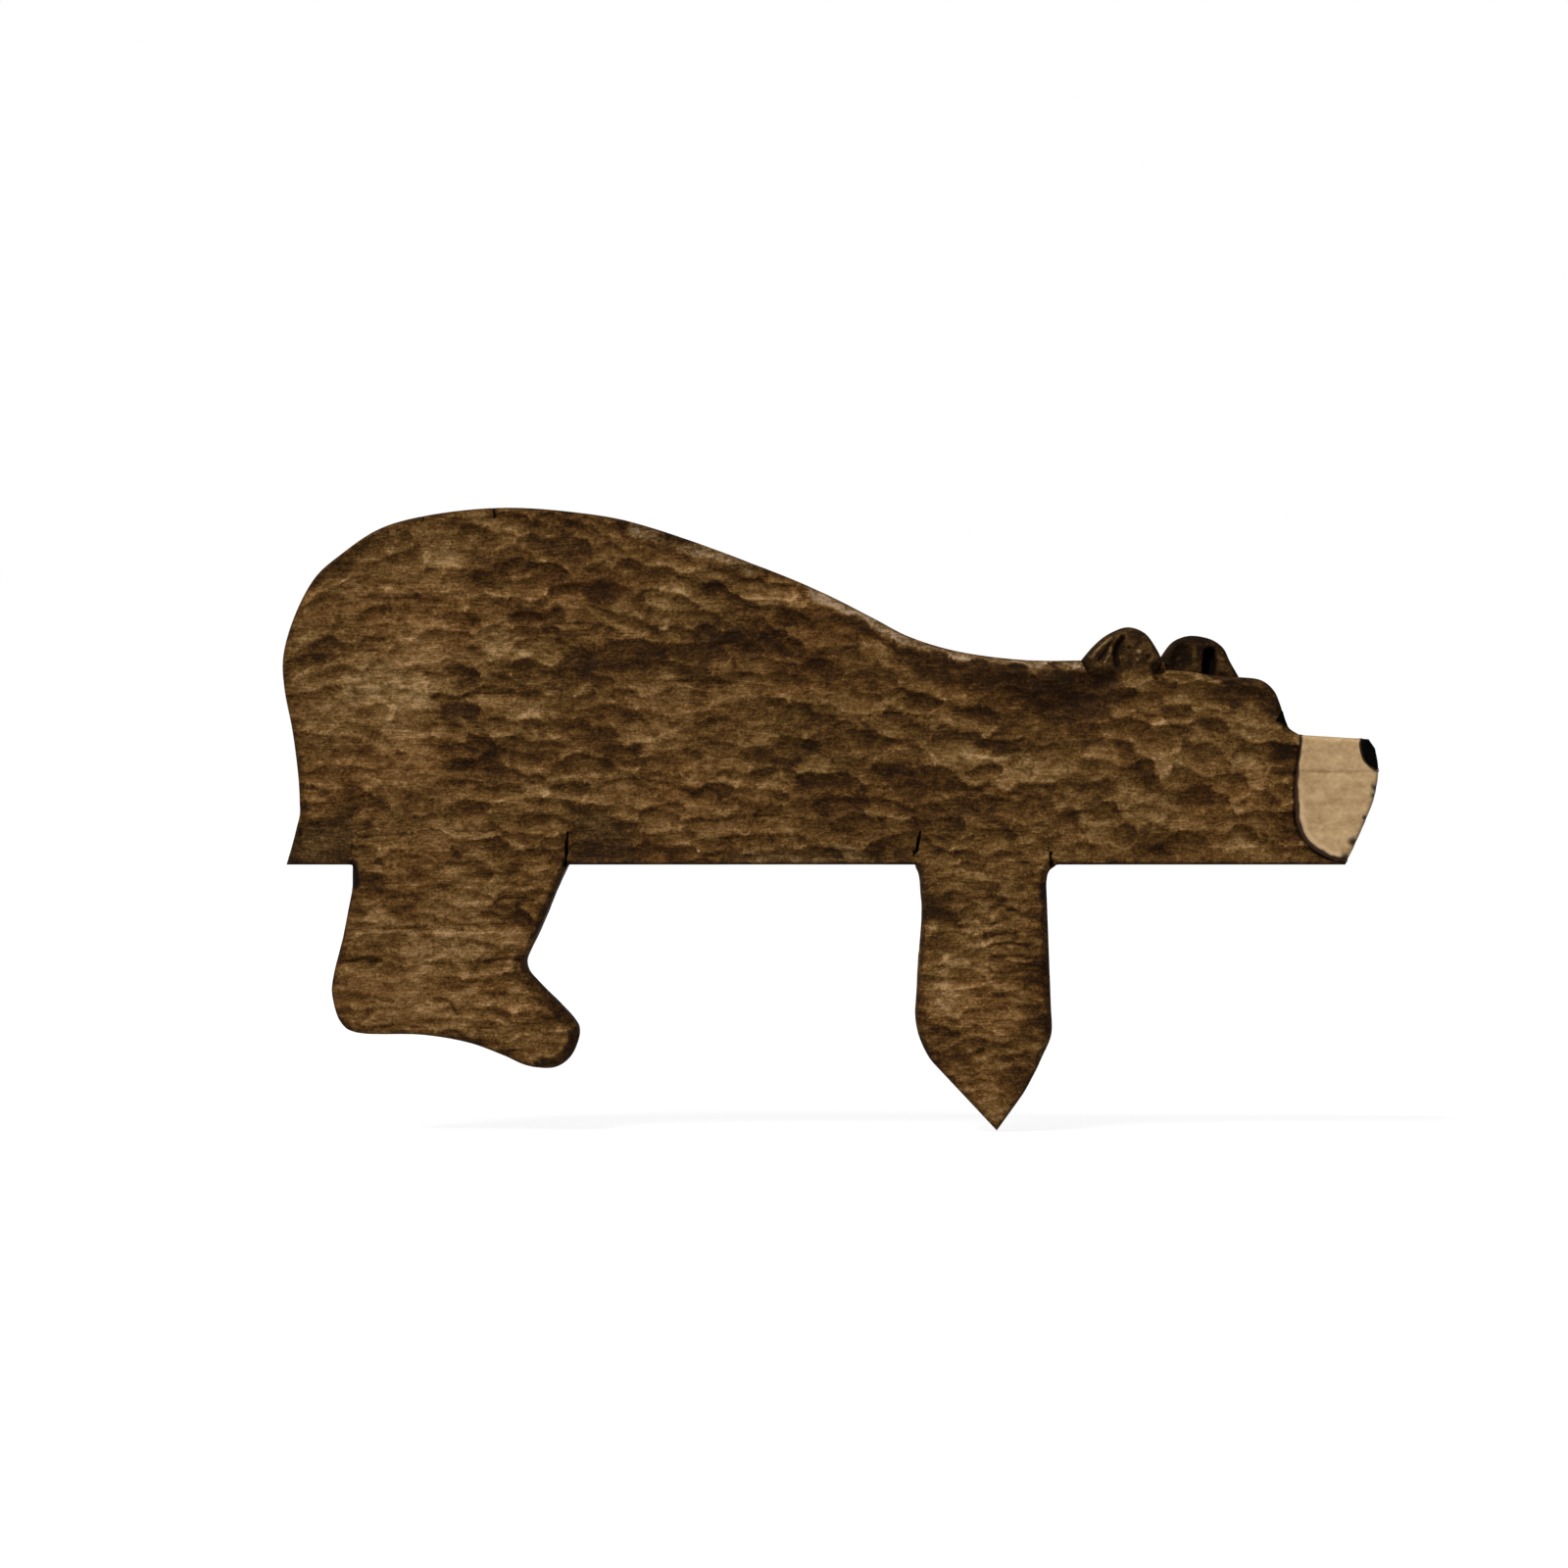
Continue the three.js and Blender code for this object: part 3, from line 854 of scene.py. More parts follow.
def is_inside(loop, points, chunk=4000):
    """Whether each point is inside a loop, by counting crossings."""
    a, b = loop, np.roll(loop, -1, axis=0)
    rise = np.where(a[:, 1] == b[:, 1], 1.0, b[:, 1] - a[:, 1])
    inside = []
    for start in range(0, len(points), chunk):
        x, z = points[start : start + chunk, :1], points[start : start + chunk, 1:]
        crossing = (a[:, 1] > z) != (b[:, 1] > z)
        at = a[:, 0] + (z - a[:, 1]) / rise * (b[:, 0] - a[:, 0])
        inside.append(np.sum(crossing & (at > x), axis=1) % 2 == 1)
    return np.concatenate(inside) if inside else np.zeros(0, bool)


def thinned(points, cell):
    """One point for each cell of a square lattice."""
    _, first = np.unique(np.round(points / cell).astype(int), axis=0, return_index=True)
    return points[np.sort(first)]


def triangulated(loop, inner):
    """Triangles that fill a loop through the inner points, and where the loop's own points went."""
    count = len(loop)
    points = np.concatenate([loop, inner])
    edges = [(i, (i + 1) % count) for i in range(count)]
    places = [Vector(point) for point in points]
    verts, _, faces, origins = delaunay_2d_cdt(places, edges, [], 0, 1e-6, True)[:4]
    ring = np.full(count, -1)
    for out, source in enumerate(origins):
        for one in source:
            if one < count:
                ring[one] = out
    outline = {(int(a), int(b)) for a, b in zip(ring, np.roll(ring, -1))}
    owner = {edge: number for number, face in enumerate(faces) for edge in sides(face)}
    todo = [owner[edge] for edge in outline if edge in owner]
    inside = set(todo)
    while todo:
        for a, b in sides(faces[todo.pop()]):
            neighbour = owner.get((b, a))
            if (a, b) not in outline and neighbour is not None and neighbour not in inside:
                inside.add(neighbour)
                todo.append(neighbour)
    kept = [tuple(faces[number]) for number in sorted(inside)]
    return np.array([(v.x, v.y) for v in verts]), kept, ring


def sides(face):
    return zip(face, list(face[1:]) + [face[0]])


def inset_loop(loop, line, distance):
    """A loop moved inward. Points that would fold over at a corner join their neighbour instead."""
    moved = loop + inward_normals(loop) * distance[:, None]
    good = np.nonzero(line.distance(moved) > 0.9 * distance)[0]
    count = len(loop)
    steps = np.abs(np.arange(count)[:, None] - good[None, :])
    nearest = good[np.argmin(np.minimum(steps, count - steps), axis=1)]
    return moved[nearest]


def ridge_points(loop, line, margin):
    """Points on the ridges between gouge cuts, inside a loop."""
    found = []
    for part, cuts in enumerate((body_cuts, head_cuts, leg_cuts)):
        points = cuts.ridges(loop.min(axis=0), loop.max(axis=0))
        found.append(points[shares(points)[part] > 0.5])
    points = thinned(np.concatenate(found), 0.28)
    points = points[is_inside(loop, points)]
    return points[line.distance(points) > margin]


ROW_HEIGHT = 1.4
EASING_TURNS = (0.52, 1.05, 0.5 * math.pi)


def carved_solid(
    name, loop, front, back, relief, pitch=0.8, ease=0.8, wall=None, rings=(0.3, 0.8), ridged=False
):
    """A closed solid. Its front at y = front is sunk by relief(points); its back edge is eased."""
    line = Line(loop)
    inner = [rings_inside(loop, line, rings), grid_inside(loop, line, pitch, rings[-1] + 0.5 * pitch)]
    if ridged:
        ridges = ridge_points(loop, line, rings[-1] + 0.3)
        inner[1] = inner[1][nearest_point(tree_of(ridges), inner[1]) > 0.6 * pitch]
        inner.append(ridges)
    where, faces, ring = triangulated(loop, np.concatenate(inner))
    depth = relief(where)
    verts = [(x, front + d, z) for (x, z), d in zip(where, depth)]
    normals = inward_normals(loop)
    arc = np.concatenate([[0], np.cumsum(np.linalg.norm(np.diff(loop, axis=0), axis=1))])
    ring_y = front + depth[ring]
    rows = max(2, round((back - front) / ROW_HEIGHT))
    previous = ring
    for share in np.linspace(0, 1, rows + 1)[1:]:
        y = ring_y + (back - ease - ring_y) * share
        shift = np.zeros(len(loop))
        if wall is not None:
            shift += wall(arc, y, loop) * between(y - ring_y, 0.0, 2.5)
        row = loop + normals * shift[:, None]
        previous = add_row(verts, faces, row, y, previous)
    for turn in EASING_TURNS:
        row = inset_loop(loop, line, shift + ease * (1 - math.cos(turn)))
        y = np.full(len(loop), back - ease * (1 - math.sin(turn)))
        previous = add_row(verts, faces, row, y, previous)
    faces.append(tuple(previous[::-1]))
    mesh = bpy.data.meshes.new(name)
    mesh.from_pydata([Vector(v) * MM for v in verts], [], faces)
    mesh.update()
    return new_object(name, mesh)


def add_row(verts, faces, row, y, previous):
    """Adds a ring of points at depth y and the faces that join it to the previous ring."""
    start = len(verts)
    verts.extend((x, h, z) for (x, z), h in zip(row, y))
    count = len(row)
    for i in range(count):
        j = (i + 1) % count
        faces.append((previous[i], start + i, start + j, previous[j]))
    return np.arange(start, start + count)


POCKET_GAP = 0.06
POCKET_DEPTH_GAP = 0.1


def prism(name, loop, front, back):
    """A cutter with straight sides along a loop."""
    count = len(loop)
    verts = [(x, y, z) for y in (front, back) for x, z in loop]
    faces = [tuple(range(count)), tuple(range(2 * count - 1, count - 1, -1))]
    faces += [(i, i + count, (i + 1) % count + count, (i + 1) % count) for i in range(count)]
    mesh = bpy.data.meshes.new(name)
    mesh.from_pydata([Vector(v) * MM for v in verts], [], faces)
    return new_object(name, mesh)


def drill(name, node, gap=0.15):
    """A round cutter along a dowel's longest side."""
    low, high = box_mm(node)
    size = high - low
    axis = int(np.argmax(size))
    radius = float(np.min(size)) / 2 + gap
    bm = bmesh.new()
    bmesh.ops.create_cone(
        bm, cap_ends=True, segments=32, radius1=radius, radius2=radius, depth=size[axis] + 2 * gap
    )
    turn = Vector((0, 0, 1)).rotation_difference(Vector(np.eye(3)[axis]))
    bmesh.ops.rotate(bm, verts=bm.verts, cent=(0, 0, 0), matrix=turn.to_matrix())
    bmesh.ops.translate(bm, verts=bm.verts, vec=Vector((low + high) / 2))
    bmesh.ops.scale(bm, verts=bm.verts, vec=(MM, MM, MM))
    mesh = bpy.data.meshes.new(name)
    bm.to_mesh(mesh)
    bm.free()
    return new_object(name, mesh)


def cut(piece, tools):
    """Cuts the tools out of a piece's mesh and deletes them."""
    for tool in tools:
        change = piece.modifiers.new("cut", "BOOLEAN")
        change.operation = "DIFFERENCE"
        change.solver = "MANIFOLD"
        change.object = tool
    mesh = bpy.data.meshes.new_from_object(piece.evaluated_get(bpy.context.evaluated_depsgraph_get()))
    old = piece.data
    piece.modifiers.clear()
    piece.data = mesh
    mesh.name = piece.name
    bpy.data.meshes.remove(old)
    for tool in tools:
        bpy.data.objects.remove(tool)


def pocket(node, front=None, back=None):
    """A cutter a little larger than a small piece, open at the front or the back."""
    low, high = box_mm(node)
    outline = loops[node] - inward_normals(loops[node]) * POCKET_GAP
    front = low[1] - POCKET_DEPTH_GAP if front is None else front
    back = high[1] + POCKET_DEPTH_GAP if back is None else back
    return prism(node + "_pocket", outline, front, back)


def holes(nodes):
    return [drill("hole_" + node, node) for node in nodes]


def write_layer(mesh, name, values):
    layer = mesh.attributes.new(name, "FLOAT", "POINT")
    layer.data.foreach_set("value", np.asarray(values, np.float32))


def finish_mesh(piece, crease):
    """Smooth shading, with sharp edges past the crease angle and a flat back."""
    piece.data.shade_smooth()
    piece.data.set_sharp_from_angle(angle=math.radians(crease))
    for face in piece.data.polygons:
        if face.normal.y > 0.9999:
            face.use_smooth = False


def outer_wall(arc, y, loop):
    """How far the knife cuts sink into the rim's side. The belly and the seams stay straight."""
    free = between(rim_distance(loop), 0.9, 0.2) * between(loop[:, 1], 0.2, 4.0)
    depth = wall_cuts.at(np.stack([arc, y], axis=1))[0]
    return depth * free


def leg_wall(arc, y, loop):
    """The same for a leg, whose root stays straight."""
    free = between(-loop[:, 1], 0.5, 5.0)
    return wall_cuts.at(np.stack([arc, y], axis=1))[0] * 0.7 * free


def carved_front(where):
    return carving(where)[0]


def stain_and_shade_piece(piece, side_tone):
    """Writes the layers of a carved board. Behind the carved rim, the sides and back take side_tone."""
    places = places_of(piece.data)
    flat = places[:, [0, 2]]
    depth, stain_and_shade, soot, bloom = carving(flat)
    side = between(places[:, 1] - ROOM_FACE - depth, 0.4, 1.6)
    side_stain = side_tone + 0.1 * wander(places[:, [0, 1]], 31, 1.5)
    write_layer(piece.data, "stain_and_shade", stain_and_shade * (1 - side) + side_stain * side)
    write_layer(piece.data, "soot", soot * (1 - side))
    write_layer(piece.data, "bloom", bloom * (1 - side))
    x, z = flat.T
    fibre = 0.3 + 0.1 * between(-x, 70, 105) - 0.1 * between(x, 56, 75)
    write_layer(piece.data, "fibre", fibre + (0.34 - fibre) * shares(flat)[2])


# ---------------------------------------------------------------- boards and legs

DOWELS = [node for node in frame["nodes"] if "dowel" in node or "pin" in node]
pieces = {}

pieces["front_board"] = carved_solid(
    "carved_front_board",
    closed_loops["front_board"],
    ROOM_FACE,
    FRONT_BOARD_BACK,
    carved_front,
    wall=outer_wall,
    ease=0.35,
    ridged=True,
)
cut(
    pieces["front_board"],
    [pocket("right_ear", front=ROOM_FACE - 5), pocket("right_eye", front=ROOM_FACE - 5)]
    + holes(node for node in DOWELS if "left" not in node),
)


def eased_edge(where):
    """The back board's flat inner face, with its edge eased."""
    return 0.35 * np.exp(-((Line(loops["back_board"]).distance(where) / 0.3) ** 2))


pieces["back_board"] = carved_solid(
    "sawn_back_board",
    loops["back_board"],
    BACK_BOARD_FRONT,
    WALL_FACE,
    eased_edge,
    pitch=6.0,
    wall=outer_wall,
    ease=1.0,
    rings=(0.3, 0.8, 2.5),
)
cut(
    pieces["back_board"],
    [pocket("left_ear", front=BACK_BOARD_FRONT - 1), pocket("left_eye", back=WALL_FACE + 5)]
    + holes(node for node in DOWELS if "board" in node or "left" in node),
)

for leg in ("hind_leg", "front_leg"):
    pieces[leg] = carved_solid(
        "carved_" + leg,
        closed_loops[leg],
        ROOM_FACE,
        FRONT_BOARD_BACK,
        carved_front,
        pitch=0.7,
        wall=leg_wall,
        ease=0.5,
        ridged=True,
    )
    cut(pieces[leg], holes(node for node in DOWELS if leg in node))


# ---------------------------------------------------------------- head pieces


# Small nicks in the muzzle's worn front edge: x, z, size.
MUZZLE_NICKS = [
    (151.8, 21.5, 1.2),
    (151.4, 19.3, 1),
    (148.8, 13.2, 0.8),
    (145.6, 6.3, 1.4),
    (143.4, 2, 1.3),
]
SCRIBED_AT = 25.8


def muzzle_nicks(where):
    return np.max([swell(where, x, z, size, size * 0.8) for x, z, size in MUZZLE_NICKS], axis=0)


def muzzle_relief(where):
    edge = rim_distance(where)
    line = lines["muzzle"].distance(where)
    ripple = 0.2 + 0.1 * wander(where, 14, 4.0)
    scribe = 0.2 * np.exp(-(((where[:, 1] - SCRIBED_AT) / 0.35) ** 2))
    nicks = 0.9 * muzzle_nicks(where)
    return rim_profile(edge, 1.3) + 0.3 * (1 - between(line, 0.0, 0.5)) + ripple + scribe + nicks


def nose_relief(where):
    seam = 0.2 * (1 - between(lines["nose"].distance(where), 0, 0.4))
    return rim_profile(rim_distance(where), 1.2) + 0.15 + seam


def eye_relief(where):
    return rim_profile(rim_distance(where), 1.5) + 0.35


def flat_relief(where):
    return np.zeros(len(where))


pieces["muzzle"] = carved_solid(
    "sanded_muzzle",
    closed_loops["muzzle"],
    ROOM_FACE,
    WALL_FACE,
    muzzle_relief,
    pitch=0.5,
    ease=1.6,
    rings=(0.2, 0.45, 0.7, 0.95, 1.25),
)
cut(pieces["muzzle"], holes(node for node in DOWELS if "muzzle" in node))
pieces["nose"] = carved_solid(
    "painted_nose",
    closed_loops["nose"],
    ROOM_FACE,
    WALL_FACE,
    nose_relief,
    pitch=0.5,
    ease=1.2,
    rings=(0.2, 0.5),
)
for eye, relief, ease in (("right_eye", eye_relief, 0.1), ("left_eye", flat_relief, 0.8)):
    low, high = box_mm(eye)
    pieces[eye] = carved_solid(
        "painted_" + eye, loops[eye], low[1], high[1], relief, pitch=0.4, ease=ease, rings=(0.2, 0.4)
    )

# Dents in the ears: x, z, half length, half height, depth, shade. Dents are darker and bumps (negative
# depth) lighter: painted shade and highlight.
EAR_DENTS = {
    "right_ear": [
        (85.8, 59.4, 0.8, 0.6, -0.3, -0.5),
        (85.3, 57.2, 0.6, 0.5, -0.3, -0.5),
        (83, 60.5, 0.5, 0.5, 0.4, 0.25),
        (88.5, 58, 0.6, 0.7, 0.4, 0.25),
        (86, 62, 0.7, 0.5, 0.3, 0.2),
        (81, 54.5, 2.5, 1, 0.3, 0.15),
        (90.6, 54.6, 1.4, 2.2, 0.9, 0.35),
    ],
    "left_ear": [
        (98.8, 57.8, 2.6, 3.6, 0.8, 0.3),
        (102.6, 57.8, 0.8, 3.6, -0.2, -0.26),
        (110.4, 57.5, 1, 3, -0.1, -0.2),
        (110.6, 58.6, 1.2, 0.3, 0.2, 0.25),
        (110.9, 56.6, 1.2, 0.3, 0.2, 0.25),
    ],
}
# Gouged lines in the ears: points, half width, depth, shade. On the right ear sunk lines are darker and
# raised ones lighter, painted shade and highlight; the left ear's lines are dark enough to turn to soot,
# its hollow painted black.
EAR_LINES = {
    "right_ear": [
        ([(81.2, 63.2), (79.6, 60.6), (79.3, 58), (79.8, 55.8)], 0.75, 1.2, 0.55),
        ([(72.6, 57.8), (75, 60.6), (78, 63.2)], 0.45, -0.3, -0.42),
        ([(74.6, 57), (76.3, 59.2), (77.6, 61.8)], 0.45, 0.5, 0.22),
        ([(76.2, 56.4), (77.4, 58.4), (78, 60.4)], 0.45, -0.3, -0.4),
    ],
    "left_ear": [
        ([(107, 59.6), (107.2, 56.5), (107, 53)], 1.25, 2.4, 1.6),
        ([(106, 59.6), (105.8, 56.5), (105.6, 54)], 0.9, 2, 1.4),
    ],
}
ear_lines = {ear: as_lines(marks) for ear, marks in EAR_LINES.items()}


def ear_carving(ear, where):
    """Depth, colour darkness and grey tint of an ear's face, with painted shade and highlight in its
    dents and lines. The right ear's base runs into the head's cuts.
    """
    edge = Line(loops[ear]).distance(where)
    depth = rim_profile(edge, 1.5) + 0.3 + 0.16 * wander(where, 5.5, 2.0)
    stain_and_shade = 0.68 + 0.2 * np.exp(-((edge / 0.9) ** 2)) + 0.1 * wander(where, 4.5, 5.0)
    bloom = np.full(len(where), 0.7)
    for x, z, half_length, half_height, sink, dark in EAR_DENTS[ear]:
        amount = swell(where, x, z, half_length, half_height)
        depth += sink * amount
        stain_and_shade += dark * amount
    for line, half_width, sink, dark in ear_lines[ear]:
        amount = np.exp(-((line.distance(where) / half_width) ** 4))
        depth += sink * amount
        stain_and_shade += dark * amount
    if ear == "right_ear":
        head_depth, head_stain_and_shade, _, head_bloom = carving(where)
        into_head = between(where[:, 1], 55.5, 52.5)
        depth += (head_depth - depth) * into_head
        stain_and_shade += (head_stain_and_shade - stain_and_shade) * into_head
        bloom += (head_bloom - bloom) * into_head
    else:
        stain_and_shade += 0.14
    return depth, stain_and_shade, bloom


for ear in ("right_ear", "left_ear"):
    low, high = box_mm(ear)
    pieces[ear] = carved_solid(
        "carved_" + ear,
        loops[ear],
        ROOM_FACE if ear == "right_ear" else low[1],
        high[1],
        lambda where, ear=ear: ear_carving(ear, where)[0],
        pitch=0.4,
        ease=1.2,
        rings=(0.2, 0.45, 0.8, 1.2),
    )
    cut(pieces[ear], holes([ear + "_pin"]))


# ---------------------------------------------------------------- layers of colour, with painted shade and sheen

for node, tone in (("front_board", 0.6), ("hind_leg", 0.65), ("front_leg", 0.65)):
    stain_and_shade_piece(pieces[node], tone)
board = pieces["back_board"].data
places = places_of(board)
on_side = between(WALL_FACE - places[:, 1], 1.0, 3.0)
write_layer(board, "stain_and_shade", 0.55 + 0.12 * on_side * wander(places[:, [0, 2]], 60, 0.7))
write_layer(board, "soot", np.zeros(len(places)))
write_layer(board, "bloom", np.zeros(len(places)))
write_layer(board, "fibre", np.full(len(places), 0.8))
for ear in ("right_ear", "left_ear"):
    mesh = pieces[ear].data
    places = places_of(mesh)
    depth, stain_and_shade, bloom = ear_carving(ear, places[:, [0, 2]])
    face = ROOM_FACE if ear == "right_ear" else box_mm(ear)[0][1]
    side = between(places[:, 1] - face - depth, 0.4, 1.6)
    write_layer(mesh, "stain_and_shade", np.clip(stain_and_shade, 0, 1) * (1 - side) + 0.8 * side)
    write_layer(mesh, "soot", np.clip(stain_and_shade - 1.05, 0, 0.6) / 0.6 * (1 - side))
    write_layer(mesh, "bloom", bloom)
    write_layer(mesh, "fibre", np.full(len(places), 0.1))


def muzzle_tint(where_3d):
    """Soot at the muzzle's seam, along its top and right rim and in its nicks, and a pale line inside
    the seam: a painted highlight on the muzzle's rounded lower edge.
    """
    where = where_3d[:, [0, 2]]
    line = lines["muzzle"].distance(where)
    rim_near = rim_distance(where)
    low = chin_share(where)
    seam_side = between(rim_near - line, 0.1, 0.6)
    seam_width = 0.3 + 0.5 * low + 0.22 * wander(where, 4, 3)
    at_seam = (1 - between(line - seam_width, 0.0, 0.28)) * seam_side
    # A painted highlight: a pale line along the muzzle's lower edge inside the seam.
    pale = 0.6 * np.exp(-(((line - seam_width - 0.9) / 0.5) ** 2)) * low * seam_side
    rim_sides = between(where[:, 1], 36, 37) + between(where[:, 0], 145, 147) * (1 + wander(where, 3, 1.0))
    darker_rim = 0.45 * (1 - between(rim_near, 0.2, 0.7)) * rim_sides
    scribe = 0.3 * np.exp(-(((where[:, 1] - SCRIBED_AT) / 0.3) ** 2))
    front = 1 - between(where_3d[:, 1] - ROOM_FACE, 3.0, 5.0)
    soot = np.maximum(at_seam, darker_rim) + 0.95 * muzzle_nicks(where) + scribe
    return np.clip(soot, 0, 1) * front, pale * front


for layer, values in zip(("soot", "bloom"), muzzle_tint(places_of(pieces["muzzle"].data))):
    write_layer(pieces["muzzle"].data, layer, values)

CREASES = {"front_board": 16, "hind_leg": 16, "front_leg": 16}
for node, piece in pieces.items():
    finish_mesh(piece, CREASES.get(node, 35))


# ---------------------------------------------------------------- materials


def linear(red, green, blue):
    """A display colour from 0 to 255 as a linear one."""

    def channel(value):
        v = value / 255
        return v / 12.92 if v <= 0.04045 else ((v + 0.055) / 1.055) ** 2.4

    return (channel(red), channel(green), channel(blue), 1.0)


class Graph:
    """Short calls for building a material's nodes."""

    def __init__(self, name):
        self.material = bpy.data.materials.new(name)
        self.material.use_nodes = True
        self.tree = self.material.node_tree
        self.shader = self.tree.nodes["Principled BSDF"]
        self.coords = self.node("ShaderNodeTexCoord", {}).outputs["Object"]

    def put(self, socket, value):
        if hasattr(value, "is_output"):
            self.tree.links.new(value, socket)
        else:
            socket.default_value = value

    def node(self, kind, inputs, **settings):
        node = self.tree.nodes.new(kind)
        for key, value in settings.items():
            setattr(node, key, value)
        for key, value in inputs.items():
            self.put(node.inputs[key], value)
        return node

    def math(self, kind, *values):
        return self.node("ShaderNodeMath", dict(enumerate(values)), operation=kind).outputs[0]

    def total(self, first, *others):
        for part in others:
            first = self.math("ADD", first, part)
        return first

    def noise(self, stretch, detail=4.0, roughness=0.6, warp=0.0, seed=0.0):
        """Noise with stretch = cells per metre along x, y and z."""
        place = {"Vector": self.coords, "Scale": stretch, "Location": (seed, seed * 1.7, seed * 0.6)}
        moved = self.node("ShaderNodeMapping", place).outputs["Vector"]
        look = {"Scale": 1.0, "Detail": detail, "Roughness": roughness, "Distortion": warp}
        return self.node("ShaderNodeTexNoise", {"Vector": moved, **look}).outputs["Fac"]

    def spread(self, value, low, high, out_low=0.0, out_high=1.0):
        ends = {"From Min": low, "From Max": high, "To Min": out_low, "To Max": out_high}
        return self.node("ShaderNodeMapRange", {"Value": value, **ends}).outputs["Result"]

    def ramp(self, value, stops):
        node = self.node("ShaderNodeValToRGB", {"Fac": value})
        ramp = node.color_ramp
        while len(ramp.elements) < len(stops):
            ramp.elements.new(0.5)
        for element, (at, colour) in zip(ramp.elements, stops):
            element.position = at
            element.color = colour
        return node.outputs["Color"]

    def mix(self, factor, a, b, kind="MIX"):
        inputs = {0: factor, 6: a, 7: b}
        return self.node("ShaderNodeMix", inputs, data_type="RGBA", blend_type=kind).outputs[2]

    def layer(self, name):
        return self.node("ShaderNodeAttribute", {}, attribute_name=name).outputs["Fac"]

    def bump(self, height, strength, distance, below=None):
        inputs = {"Strength": strength, "Distance": distance, "Height": height}
        if below is not None:
            inputs["Normal"] = below
        return self.node("ShaderNodeBump", inputs).outputs["Normal"]

    def finish(self, colour, roughness, normal, specular):
        self.put(self.shader.inputs["Base Color"], colour)
        self.put(self.shader.inputs["Roughness"], roughness)
        self.put(self.shader.inputs["Normal"], normal)
        self.shader.inputs["Specular IOR Level"].default_value = specular
        return self.material


def stained_wood(name):
    """Brown-stained softwood: grain along x, darker in the cuts by the colour-darkness layer, which
    holds painted shade and highlight as well as staining; greyed by the grey tint layer, which holds a
    painted sheen; soot in the knife lines.
    """
    g = Graph(name)
    fibre_share = g.layer("fibre")
    grain = g.noise((90, 500, 760), detail=5, roughness=0.62, warp=0.4)
    fibre = g.noise((300, 1700, 2400), detail=4, roughness=0.65, seed=3.0)
    speck = g.noise((1250, 1250, 1500), detail=4, roughness=0.75, seed=5.0)
    cloud = g.noise((55, 55, 90), detail=4, roughness=0.6, seed=8.0)
    mottle = g.noise((230, 260, 400), detail=5, roughness=0.72, warp=0.7, seed=21.0)
    drift = g.noise((17, 17, 24), detail=2, roughness=0.5, seed=31.0)
    streaks = g.total(g.spread(grain, 0.25, 0.75, -0.3, 0.3), g.spread(fibre, 0.25, 0.75, -0.24, 0.24))
    dark = g.total(
        g.math("MULTIPLY", streaks, fibre_share),
        g.layer("stain_and_shade"),
        g.spread(speck, 0.25, 0.75, -0.27, 0.27),
        g.spread(fibre, 0.25, 0.75, -0.06, 0.06),
        g.spread(cloud, 0.3, 0.7, -0.12, 0.12),
        g.spread(mottle, 0.3, 0.7, -0.24, 0.24),
        g.spread(drift, 0.35, 0.65, -0.07, 0.07),
    )
    colour = g.ramp(
        dark,
        [
            (0.0, linear(136, 107, 74)),
            (0.22, linear(104, 78, 46)),
            (0.46, linear(76, 52, 21)),
            (0.70, linear(49, 29, 7)),
            (0.95, linear(23, 11, 2)),
        ],
    )
    hue = g.noise((26, 26, 50), detail=3, roughness=0.6, seed=12.0)
    red, green, grey = (
        g.mix(1.0, colour, (*tint, 1), "MULTIPLY")
        for tint in ((1.08, 0.88, 0.75), (0.9, 1.0, 0.95), (0.88, 1.0, 1.35))
    )
    colour = g.mix(g.spread(hue, 0.5, 0.68, 0.0, 0.3), colour, red)
    colour = g.mix(g.spread(hue, 0.5, 0.34, 0.0, 0.35), colour, green)
    colour = g.mix(g.layer("bloom"), colour, grey)
    colour = g.mix(g.layer("soot"), colour, linear(10, 5, 3))
    rough = g.spread(fibre, 0.3, 0.7, 0.55, 0.75)
    normal = g.bump(g.total(grain, g.math("MULTIPLY", fibre, 0.6)), 0.6, 0.0004)
    normal = g.bump(speck, 0.35, 0.0003, below=normal)
    normal = g.bump(mottle, 0.6, 0.0012, below=normal)
    return g.finish(colour, rough, normal, 0.04)


def bare_wood():
    g = Graph("bare_wood")
    grain = g.noise((60, 300, 420), detail=4, roughness=0.55, warp=0.2, seed=2.0)
    speck = g.noise((900, 900, 1100), detail=3, roughness=0.65, seed=6.0)
    smudge = g.noise((110, 110, 140), detail=3, roughness=0.5, seed=9.0)
    mottle = g.noise((330, 330, 420), detail=5, roughness=0.7, warp=0.5, seed=14.0)
    value = g.total(
        g.spread(grain, 0.3, 0.7, 0.3, 0.6),
        g.spread(speck, 0.25, 0.75, -0.15, 0.15),
        g.spread(smudge, 0.35, 0.75, -0.05, 0.12),
        g.spread(mottle, 0.3, 0.7, -0.26, 0.26),
    )
    stops = [(0.0, linear(166, 140, 103)), (0.45, linear(142, 117, 83)), (0.9, linear(116, 89, 58))]
    colour = g.ramp(value, stops)
    # The grey tint layer here carries the muzzle's painted highlight.
    colour = g.mix(g.layer("bloom"), colour, linear(170, 146, 116))
    colour = g.mix(g.layer("soot"), colour, linear(38, 22, 9))
    normal = g.bump(g.total(grain, speck), 0.35, 0.0002)
    return g.finish(colour, g.spread(grain, 0.3, 0.7, 0.5, 0.65), normal, 0.12)


